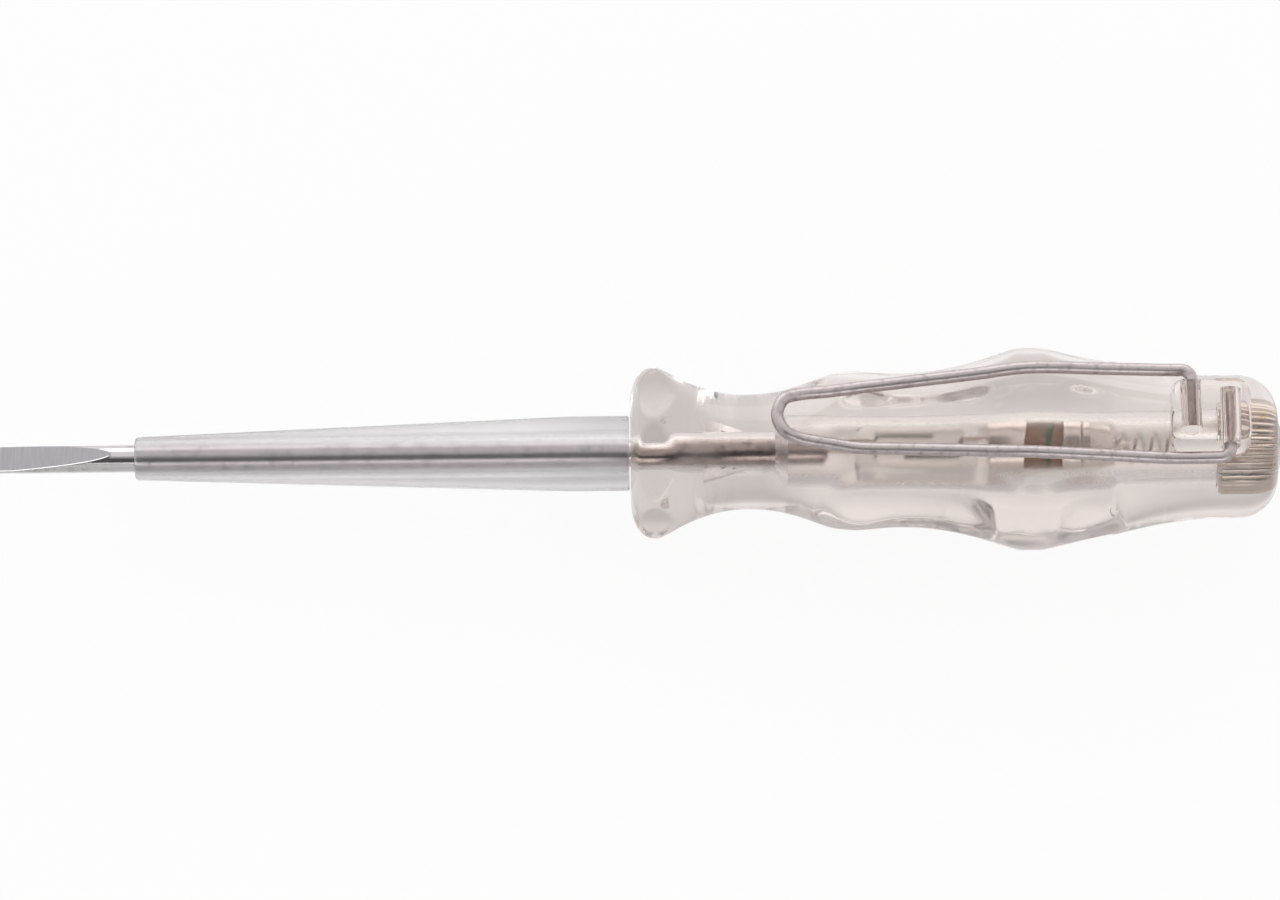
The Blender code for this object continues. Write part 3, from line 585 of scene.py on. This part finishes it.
def place(name, mesh, finishes, body, node):
    """Stand a piece in the row frame in place of its CAD node, riding on its body."""
    mesh.transform(TOOL_TO_ROW)
    for finish in finishes:
        mesh.materials.append(finish)
    piece = bpy.data.objects.new(name, mesh)
    bpy.context.collection.objects.link(piece)
    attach(piece, body)
    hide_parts(node)


# Handle


def flat_distance(station):
    """Distance of the handle's flats from its axis at a station."""
    for (start, before, bend), (end, after, _) in zip(FLAT_PROFILE, FLAT_PROFILE[1:]):
        if station <= end:
            t = max(0, (station - start) / (end - start))
            return before + (after - before) * (t + bend * t * (1 - t))
    return FLAT_PROFILE[-1][1]


def corner_radius(station):
    """Radius over the handle's corners, with its rounded front and butt."""
    if station < GUARD_FRONT_ROUND:
        rise = math.sqrt(1 - (1 - station / GUARD_FRONT_ROUND) ** 2)
        return FACE_RADIUS + (GUARD_RADIUS - FACE_RADIUS) * rise
    past = station - (HANDLE_LENGTH - BUTT_ROUND)
    if past > 0:
        return REAR_RADIUS - BUTT_ROUND + math.sqrt(max(0, BUTT_ROUND ** 2 - past ** 2))
    for (start, before, ease), (end, after, _) in zip(CORNER_PROFILE, CORNER_PROFILE[1:]):
        if station <= end:
            t = max(0, (station - start) / (end - start)) ** ease
            return before + (after - before) * t * t * (3 - 2 * t)
    return CORNER_PROFILE[-1][1]


def handle_radius(station, turn):
    """Radius of the handle at an angle from the clip, the round cut by six softened flats."""
    flat_turn = math.pi / 6 if station < NECK_AT else 0
    to_flat = (turn - flat_turn + math.pi / 6) % (math.pi / 3) - math.pi / 6
    round_part = corner_radius(station)
    flat_part = flat_distance(station) / math.cos(to_flat)
    near = max(0, FLAT_EDGE_SOFTNESS - abs(round_part - flat_part))
    return min(round_part, flat_part) - near ** 2 / FLAT_EDGE_SOFTNESS / 4


def handle_stations():
    """Stations of the handle's rings: close along the rounds, evenly spaced between the profile rows."""
    spacing = 0.0004
    quarter = [math.radians(6 * i) for i in range(16)]
    front = [GUARD_FRONT_ROUND * (1 - math.cos(turn)) for turn in quarter]
    butt = [HANDLE_LENGTH - BUTT_ROUND * (1 - math.sin(turn)) for turn in quarter]
    rows = sorted({row[0] for row in CORNER_PROFILE + FLAT_PROFILE} | {front[-1], butt[0]})
    between = []
    for start, end in zip(rows, rows[1:]):
        count = math.ceil((end - start) / spacing)
        between += [start + (end - start) * i / count for i in range(1, count + 1)]
    return front + between[:-1] + butt


def handle_blank():
    """The handle's outside, before the clip block, the chamber and the holes."""
    turns = [math.radians(2 * j) for j in range(180)]
    sections = []
    for station in handle_stations():
        radii = [handle_radius(station, turn) for turn in turns]
        sections.append([(HANDLE_FRONT + station, radius * math.sin(turn), radius * math.cos(turn))
                         for radius, turn in zip(radii, turns)])
    return loft("handle_blank", sections)


def clip_block():
    """The rounded block on the handle that holds the clip's ends."""
    half = Vector((BLOCK_LENGTH / 2, BLOCK_WIDTH / 2, 0))
    middle = Vector((BLOCK_MIDDLE, 0, 0))
    return box("clip_block", middle - half + Vector((0, 0, BLOCK_TOP - BLOCK_DEPTH)),
               middle + half + Vector((0, 0, BLOCK_TOP)), BLOCK_ROUND)


def core():
    """The hollow along the handle: blade hole, chamber and plug bore."""
    hole = BLADE_RADIUS + WETTED
    bore = PLUG_RADIUS - KNURL_DEPTH - WETTED
    overshoot = 0.01
    profile = [
        (HANDLE_FRONT - overshoot, hole), (CHAMBER_FRONT, hole),
        (CHAMBER_FRONT + CHAMBER_CONE_LENGTH, CHAMBER_RADIUS),
        (PLUG_FRONT, CHAMBER_RADIUS), (PLUG_FRONT, bore), (HANDLE_REAR + overshoot, bore),
    ]
    return turned("core", profile, sides=96)


def wings(name, inset):
    """The two ears pinched out of the tang, thick at the rod and thin at their rims, drawn in by an inset."""
    steps = 8
    sections = []
    for step in range(steps + 1):
        share = step / steps
        x = WING_FRONT + inset + (WING_LENGTH - 2 * inset) * share
        reach = WING_HALF_SPAN + (WING_REAR_HALF_SPAN - WING_HALF_SPAN) * share - inset
        fullness = WING_END_SHARE + (1 - WING_END_SHARE) * math.sin(math.pi * share)
        swell = WING_THICKNESS / 2 * fullness - inset
        rim = WING_RIM / 2 - inset
        across = [reach * (k / steps - 1) for k in range(2 * steps + 1)]
        upper = [(x, y, rim + (swell - rim) * (1 - (y / reach) ** 2)) for y in across]
        sections.append(upper + [(x, -y, -z) for x, y, z in upper])
    return loft(name, sections, sharp=30)


def clip_hole(name, station, side, past_middle):
    """A blind cross hole in the clip block, from one side to just past the clip's end."""
    sections = []
    for across in (side * BLOCK_WIDTH, -side * (past_middle + HOLE_PAST_WIRE)):
        ring = circle(0, HOLE_RADIUS, 48)
        sections.append([(station + y, across, HOLE_HEIGHT + z) for _, y, z in ring])
    return loft(name, sections)


def make_handle():
    steps = [
        (clip_block(), "UNION"), (core(), "DIFFERENCE"), (wings("wing_slot", WETTED), "DIFFERENCE"),
        (clip_hole("front_hole", FRONT_HOLE, 1, FRONT_END_PAST_MIDDLE), "DIFFERENCE"),
        (clip_hole("rear_hole", REAR_HOLE, -1, REAR_END_PAST_MIDDLE), "DIFFERENCE"),
    ]
    mesh = carved("clear_handle", handle_blank(), steps)
    # The walls that the core pins left are grainy
    for face in mesh.polygons:
        x, y, z = face.center
        if HANDLE_FRONT + WETTED < x < PLUG_FRONT and math.hypot(y, z) < CHAMBER_RADIUS:
            face.material_index = 1
    place("clear_handle", mesh, [clear_acetate(), cored_acetate()], "tool", "handle")


# Blade and sleeve


def grind_height(x):
    """Half the blade's thickness at a station of its ground tip."""
    run = (x - TIP_PARALLEL_LENGTH) / (TIP_GRIND_LENGTH - TIP_PARALLEL_LENGTH)
    return TIP_THICKNESS / 2 + (BLADE_RADIUS - TIP_THICKNESS / 2) * min(1, max(0, run)) ** TIP_CROWN


def blade_section(x, radius, quarter=18):
    """A section of the rod, cut by two ground faces, each with a burr along the edge where the wheel left."""
    height = grind_height(x)
    ground = x < TIP_GRIND_LENGTH
    edge = math.acos(min(GRIND_END_COSINE, height / radius))
    burr = BURR_WIDTH / (radius * math.sin(edge))
    shares = [-1, burr / 3 - 1, *(burr - 1 + (2 - burr) * k / quarter for k in range(quarter))]
    half = []
    for share in shares:
        turn = share * edge
        raised = BURR_HEIGHT if share == shares[1] else 0
        flat = (share * radius * math.sin(edge), height + raised)
        half.append(flat if ground else (radius * math.sin(turn), radius * math.cos(turn)))
    for k in range(quarter):
        turn = edge + (math.pi - 2 * edge) * k / quarter
        half.append((radius * math.sin(turn), radius * math.cos(turn)))
    return [(x, y, z) for y, z in half] + [(x, -y, -z) for y, z in half]


def make_blade():
    grind = TIP_GRIND_LENGTH - TIP_PARALLEL_LENGTH
    steps = 40
    stations = [0, *(TIP_PARALLEL_LENGTH + grind * i / steps for i in range(steps)), TIP_GRIND_LENGTH]
    # The finish changes at the handle's front, and a ring ahead of the wings keeps the faces near them short
    before_wings = WING_FRONT - 0.001
    stations += [HANDLE_FRONT, before_wings, TANG_END - TANG_CHAMFER]
    sections = [blade_section(x, BLADE_RADIUS) for x in stations]
    sections.append(blade_section(TANG_END, BLADE_RADIUS - TANG_CHAMFER))
    mesh = carved("steel_blade", loft("blade", sections, sharp=12), [(wings("ears", 0), "UNION")], sharp=12)
    for face in mesh.polygons:
        x, y, z = face.center
        rise = abs(z) - grind_height(x)
        on_burr = x < TIP_GRIND_LENGTH and rise > BURR_HEIGHT / 4
        on_ground = x < TIP_GRIND_LENGTH and abs(rise) < BURR_HEIGHT / 4
        on_ear = x > WING_FRONT and abs(y) > BLADE_RADIUS
        if on_ground or x < TOUCH:
            face.material_index = 1
        elif on_burr or on_ear:
            face.material_index = 2
        elif x > HANDLE_FRONT:
            face.material_index = 3
    rod = drawn_steel("chrome_vanadium_steel_drawn", "#dad6d7", "#b9b5b6", roughest=0.2, spot=1.5)
    pinched = drawn_steel("chrome_vanadium_steel_pinched", "#f4f1f1", "#dedadb", roughest=0.5, spot=0.6)
    # The tang keeps the brown bloom that hardening left on it
    bloomed = drawn_steel("chrome_vanadium_steel_hardened", "#b6acaa", "#504745", roughest=0.15, spot=0.9)
    place("steel_blade", mesh, [rod, ground_steel(), pinched, bloomed], "tool", "blade")


def make_sleeve():
    bore = BLADE_RADIUS + FIT_GAP
    shoulder = HANDLE_FRONT - FIT_GAP
    edge = SLEEVE_EDGE_ROUND
    rear_edge = SLEEVE_REAR_ROUND
    taper_end = HANDLE_FRONT - SLEEVE_STRAIGHT_LENGTH
    steps = 40
    profile = [(SLEEVE_FRONT, bore)]
    profile += arc((SLEEVE_FRONT + edge, SLEEVE_FRONT_RADIUS - edge), edge, 180, 90)
    for i in range(1, steps + 1):
        share = i / steps
        profile.append((SLEEVE_FRONT + edge + (taper_end - SLEEVE_FRONT - edge) * share,
                        SLEEVE_FRONT_RADIUS + (SLEEVE_REAR_RADIUS - SLEEVE_FRONT_RADIUS) * share))
    profile += arc((shoulder - rear_edge, SLEEVE_REAR_RADIUS - rear_edge), rear_edge, 90, 0, steps=3)
    profile.append((shoulder, bore))
    mesh = turned("frosted_sleeve", profile, sides=96, closed=True)
    place("frosted_sleeve", mesh, [frosted_polyamide()], "tool", "blade_sleeve")


# Clip


def clip_spread(station):
    """Half the distance between the clip's legs at a station behind the handle's front face."""
    rows = [
        (SHOULDER_AT - CLIP_LOOP_LENGTH + CLIP_LOOP_ROUND, CLIP_LOOP_SPREAD),
        (SHOULDER_AT, CLIP_SHOULDER_SPREAD),
        (BULGE_AT, CLIP_BULGE_SPREAD),
        (BLOCK_MIDDLE - BLOCK_LENGTH / 2 - HANDLE_FRONT, CLIP_BLOCK_SPREAD),
    ]
    return np.interp(station, *zip(*rows)) / 2


def clip_height(station):
    """Height at which a leg of the clip just clears the flat below it or the round beside that."""
    over_flat = flat_distance(station) + CLIP_CLEARANCE
    over_round = math.sqrt((corner_radius(station) + CLIP_CLEARANCE) ** 2 - clip_spread(station) ** 2)
    return min(over_flat, over_round)


def clip_leg(side, hole, past_middle):
    """Knots of one leg from the loop to its block bend, and the points of its bent end."""
    loop_side = SHOULDER_AT - CLIP_LOOP_LENGTH + CLIP_LOOP_ROUND
    flat_start = BULGE_AT - BULGE_FLAT_HALF
    flat_end = BULGE_AT + BULGE_FLAT_HALF
    block = BLOCK_MIDDLE - BLOCK_LENGTH / 2 - HANDLE_FRONT
    bend = CLIP_BEND_RADIUS
    across = CLIP_BLOCK_SPREAD / 2
    rest = clip_height(SHOULDER_AT)
    knots = []
    for station in (loop_side, (loop_side + SHOULDER_AT) / 2):
        lift = CLIP_LOOP_LIFT * ((SHOULDER_AT - station) / CLIP_LOOP_LENGTH) ** 2
        knots.append((station, clip_spread(station), rest + lift))
    seats = [(station, clip_height(station) - CLIP_EASE) for station in (SHOULDER_AT, BULGE_AT)]
    seats.append((block, HOLE_HEIGHT))
    bridged = [SHOULDER_AT + (flat_start - SHOULDER_AT) * share for share in (0.25, 0.5, 0.75)]
    bridged.append((flat_end + block) / 2)
    for station in sorted([station for station, _ in seats] + bridged):
        straight = np.interp(station, *zip(*seats))
        height = max(straight, clip_height(station)) if station in bridged else straight
        knots.append((station, clip_spread(station), height))
    knots.append((hole - HANDLE_FRONT - bend, across, HOLE_HEIGHT))
    knots = [(HANDLE_FRONT + station, side * y, z) for station, y, z in knots]
    turn = arc((hole - bend, across - bend), bend, 90, 0, steps=12)
    end = [(x, side * y, HOLE_HEIGHT) for x, y in turn]
    end.append((hole, -side * past_middle, HOLE_HEIGHT))
    return knots, end[1:]


def make_clip():
    front_knots, front_end = clip_leg(1, FRONT_HOLE, FRONT_END_PAST_MIDDLE)
    rear_knots, rear_end = clip_leg(-1, REAR_HOLE, REAR_END_PAST_MIDDLE)
    top = clip_height(SHOULDER_AT) + CLIP_LOOP_LIFT
    tip = HANDLE_FRONT + SHOULDER_AT - CLIP_LOOP_LENGTH
    curve = math.sqrt(0.5)
    half = CLIP_LOOP_SPREAD / 2 * curve
    loop = [(tip + CLIP_LOOP_ROUND * (1 - curve), half, top), (tip, 0, top)]
    loop.append((loop[0][0], -half, top))
    middle = smooth_path(front_knots[::-1] + loop + rear_knots, steps=10)
    mesh = wire("wire_clip", front_end[::-1] + middle + rear_end, WIRE_RADIUS, sides=24)
    finish = drawn_steel("spring_steel_wire_drawn", "#c4baba", "#9d9493", roughest=0.54, spot=0.8)
    place("wire_clip", mesh, [finish], "clip", "pocket_clip")


# Parts in the chamber


def plug_section(x, radius, depth):
    """A knurled ring: teeth with rounded tops and narrow roots."""
    points_per_tooth = 8
    count = KNURL_TEETH * points_per_tooth
    ring = []
    for j in range(count):
        turn = 2 * math.pi * j / count
        reach = radius - depth * (1 - abs(math.cos(KNURL_TEETH * turn / 2)))
        ring.append((x, reach * math.sin(turn), reach * math.cos(turn)))
    return ring


def make_plug():
    root = PLUG_RADIUS - KNURL_DEPTH
    face = PLUG_FACE_RADIUS
    dome_start = PLUG_REAR - PLUG_DOME
    sections = [
        plug_section(PLUG_FRONT, root - PLUG_CHAMFER, 0),
        plug_section(PLUG_FRONT + PLUG_CHAMFER_LENGTH, root, 0),
        plug_section(PLUG_FRONT + PLUG_LEAD, PLUG_RADIUS, KNURL_DEPTH),
        plug_section(dome_start - PLUG_LEAD, PLUG_RADIUS, KNURL_DEPTH),
        plug_section(dome_start, root, 0),
    ]
    # The butt end is a low dome that flattens towards the face
    for turn in (20, 40, 60, 75, 85):
        drop = math.cos(math.radians(turn))
        sections.append(plug_section(PLUG_REAR - PLUG_DOME * drop ** 1.5, face + (root - face) * drop, 0))
    sections.append(plug_section(PLUG_REAR, face * 0.97, 0))
    mesh = loft("contact_plug_knurled", sections, sharp=28)
    finish = plated_brass("brass_nickel_plated_knurled", "#d6cdc4", "#cbb591", worn=0.06)
    place("contact_plug_knurled", mesh, [finish], "tool", "contact_plug")


def make_spring():
    radius = SPRING_RADIUS - SPRING_WIRE_RADIUS
    straight = 2 * SPRING_WIRE_RADIUS
    coiled = SPRING_REAR - SPRING_FRONT - 2 * straight
    curls = coiled / SPRING_PITCH
    points_per_curl = 36
    count = round(curls * points_per_curl)
    points = [(SPRING_FRONT, 0, radius)]
    for i in range(count + 1):
        turn = 2 * math.pi * curls * i / count
        x = SPRING_FRONT + straight + coiled * i / count
        points.append((x, radius * math.sin(turn), radius * math.cos(turn)))
    points.append((SPRING_REAR, *points[-1][1:]))
    mesh = wire("coil_spring", points, SPRING_WIRE_RADIUS, sides=12)
    finish = drawn_steel("spring_steel_wire_coiled", "#d2ccc8", "#aca6a2", roughest=0.45, spot=0.6)
    place("coil_spring", mesh, [finish], "tool", "contact_spring")


def make_cup():
    edge = CUP_EDGE
    rim_end = CUP_FRONT + CUP_RIM_LENGTH
    profile = [
        (CUP_FRONT, CUP_RADIUS - edge), (CUP_FRONT + edge, CUP_RADIUS),
        (rim_end - edge, CUP_RADIUS), (rim_end, CUP_RADIUS - edge),
        (CUP_SEAT - 2 * edge, CUP_CONE_END_RADIUS), (CUP_SEAT, CUP_SEAT_RADIUS),
        (CUP_SEAT, CUP_NOSE_ROOT_RADIUS),
        (CUP_NOSE_END - edge, CUP_NOSE_RADIUS), (CUP_NOSE_END, CUP_NOSE_RADIUS - edge),
    ]
    mesh = turned("contact_cup_turned", profile)
    finish = plated_brass("brass_nickel_plated_turned", "#f3eee9", "#dcc59c", worn=0.0)
    place("contact_cup_turned", mesh, [finish], "tool", "contact_cup")


def make_cap(name, node, face, mouth, finish):
    """A pressed cup over one end of the resistor, from its face to its mouth."""
    way = 1 if mouth > face else -1
    edge = CAP_EDGE
    on_round = edge * 0.3
    inner = CAP_RADIUS - CAP_WALL
    profile = [
        (face, CAP_RADIUS - edge), (face + way * on_round, CAP_RADIUS - on_round),
        (face + way * edge, CAP_RADIUS),
        (mouth, CAP_RADIUS), (mouth, inner), (face + way * CAP_BASE, inner),
    ]
    place(name, turned(name, profile), [finish], "tool", node)


def make_resistor():
    edge = PELLET_EDGE_ROUND
    profile = arc((PELLET_FRONT + edge, PELLET_RADIUS - edge), edge, 180, 90)
    profile += arc((PELLET_REAR - edge, PELLET_RADIUS - edge), edge, 90, 0)
    mesh = turned("resistor_rod", profile)
    place("resistor_rod", mesh, [resistor_lacquer()], "tool", "resistor_body")
    tinned = plated_brass("brass_tinned_pressed", "#f0ebe7", "#dccfb8", worn=0.0)
    make_cap("resistor_front_cap", "resistor_cap_front", FRONT_CAP_FACE, FRONT_CAP_MOUTH, tinned)
    make_cap("resistor_rear_cap", "resistor_cap_rear", REAR_CAP_FACE, REAR_CAP_MOUTH, tinned)


def make_lamp():
    hole = LEAD_RADIUS + FIT_GAP
    inner = LAMP_RADIUS - LAMP_WALL
    rounding = LAMP_END_ROUND
    cavity = LAMP_END_SOLID + rounding / 2
    profile = [(LAMP_FRONT, hole)]
    profile += arc((LAMP_FRONT + rounding, LAMP_RADIUS - rounding), rounding, 180, 90, steps=10)
    profile += arc((LAMP_REAR - rounding, LAMP_RADIUS - rounding), rounding, 90, 0, steps=10)
    profile += [
        (LAMP_REAR, hole), (LAMP_REAR - LAMP_END_SOLID, hole), (LAMP_REAR - cavity, inner),
        (LAMP_FRONT + cavity, inner), (LAMP_FRONT + LAMP_END_SOLID, hole),
    ]
    tube = turned("lamp_tube", profile, closed=True)
    place("lamp_tube", tube, [lamp_glass()], "tool", "lamp_glass")
    clad = plated_brass("copper_clad_wire", "#c9b9ac", "#b4896c", worn=0.02)
    coat = coated_nickel()
    for end, way in (("front", 1), ("rear", -1)):
        start, finish = span("lamp_lead_" + end)
        points = [(start, 0, 0), (start + LEAD_FIRST_STEP, 0, 0), (finish, 0, 0)]
        lead = wire("lead_" + end, points, LEAD_RADIUS, sides=16)
        place("lead_" + end, lead, [clad], "tool", "lamp_lead_" + end)
        low, high = span("lamp_electrode_" + end)
        root, reach = (low, high) if way > 0 else (high, low)
        side = way * ELECTRODE_OFFSET
        knots = [
            (root, 0, 0), (root + way * ELECTRODE_CRANK_START, 0, 0),
            (root + way * ELECTRODE_CRANK_END, side, 0), (reach, side, 0),
        ]
        electrode = wire("electrode_" + end, smooth_path(knots, steps=8), ELECTRODE_RADIUS, sides=16)
        place("electrode_" + end, electrode, [coat], "tool", "lamp_electrode_" + end)


# Studio


def make_floor():
    """Paper that the tool rests on: it touches the bulge's flat and the guard, so it leans by two degrees."""
    bulge = Vector((HANDLE_FRONT + BULGE_AT - BULGE_FLAT_HALF + TIP, 0, 0))
    guard = Vector((HANDLE_FRONT + GUARD_FRONT_ROUND + TIP, 0, AXIS_HEIGHT - GUARD_RADIUS))
    along = (bulge - guard).normalized()
    up = along.cross(Vector((0, 1, 0))).normalized()
    across = up.cross(along)
    half_size = 2.0
    gap = 0.00005
    points = [bulge + along * half_size * i + across * half_size * j - up * gap
              for i, j in ((-1, -1), (1, -1), (1, 1), (-1, 1))]
    mesh = mesh_from("paper", points, [(0, 1, 2, 3)])
    mesh.materials.append(white_paper())
    floor = bpy.data.objects.new("paper", mesh)
    bpy.context.collection.objects.link(floor)


def make_light():
    """A pale studio: brighter on the far side, with one dark patch above the near side and two soft lamps."""
    world = bpy.data.worlds.new("studio")
    bpy.context.scene.world = world
    world.use_nodes = True
    tree = world.node_tree
    around = add(tree, "TexCoord")
    parts = add(tree, "SeparateXYZ", {}, {"Vector": (around, "Generated")})
    # The dark patch is 42 degrees from straight up, and polished rods show it as a dark line along them
    dark_way = (0, -0.669, 0.743)
    towards = add(tree, "VectorMath", {"operation": "DOT_PRODUCT", 1: dark_way}, {0: (around, "Generated")})
    patch = add(tree, "MapRange", {"From Min": 0.82, "From Max": 0.93, "To Min": 0.94, "To Max": 0.12},
                {"Value": (towards, "Value")})
    side = add(tree, "MapRange", {"From Min": -0.8, "From Max": 0.8, "To Min": 0.74, "To Max": 1.02},
               {"Value": (parts, "Y")})
    level = add(tree, "Math", {"operation": "MULTIPLY"}, {0: (patch, "Result"), 1: (side, "Result")})
    ray = add(tree, "LightPath")
    strength = add(tree, "Math", {"operation": "MAXIMUM"}, {0: (level, "Value"), 1: (ray, "Is Camera Ray")})
    join(tree, tree.nodes["Background"], "Strength", strength, "Value")
    tree.nodes["Background"].inputs["Color"].default_value = linear("#ffffff")
    # Name, place, width and watts
    lamps = [
        ("soft_side", (-0.15, 0.75, 0.4), 1.2, 2.0),
        ("soft_fill", (0.2, -0.7, 0.4), 0.6, 1.0),
    ]
    for name, spot, size, watts in lamps:
        light = bpy.data.lights.new(name, "AREA")
        light.shape = "RECTANGLE"
        light.size = size
        light.size_y = size / 2
        light.energy = watts
        lamp = bpy.data.objects.new(name, light)
        lamp.location = spot
        lamp.rotation_euler = (-Vector(spot)).to_track_quat("-Z", "Y").to_euler()
        bpy.context.collection.objects.link(lamp)


def make_camera():
    """A long lens above the tool, leaning back by 23 degrees from straight above and rolled a little."""
    pixel = 0.000111
    frame_width = 1280 * pixel
    sensor = 36
    distance = 1.2
    lean = math.radians(22.6)
    roll = math.radians(0.64)
    back = Vector((0, -math.sin(lean), math.cos(lean)))
    right = Vector((1, 0, 0))
    up = back.cross(right)
    turned_right = right * math.cos(roll) - up * math.sin(roll)
    turned_up = right * math.sin(roll) + up * math.cos(roll)
    above_axis = 0.00036
    target = Vector((0, 0, AXIS_HEIGHT)) + turned_up * above_axis
    lens = bpy.data.cameras.new("camera")
    lens.sensor_width = sensor
    lens.lens = sensor * distance / frame_width
    camera = bpy.data.objects.new("camera", lens)
    facing = Matrix((turned_right, turned_up, back)).transposed().to_4x4()
    camera.matrix_world = Matrix.Translation(target + back * distance) @ facing
    bpy.context.collection.objects.link(camera)
    bpy.context.scene.camera = camera


make_handle()
make_blade()
make_sleeve()
make_clip()
make_plug()
make_spring()
make_cup()
make_resistor()
make_lamp()
make_floor()
make_light()
make_camera()
bpy.context.scene.view_settings.view_transform = "Standard"
# Light turns round many times inside the thick clear handle before it leaves
bpy.context.scene.cycles.max_bounces = 24
bpy.context.scene.cycles.glossy_bounces = 16
bpy.context.scene.cycles.transmission_bounces = 24
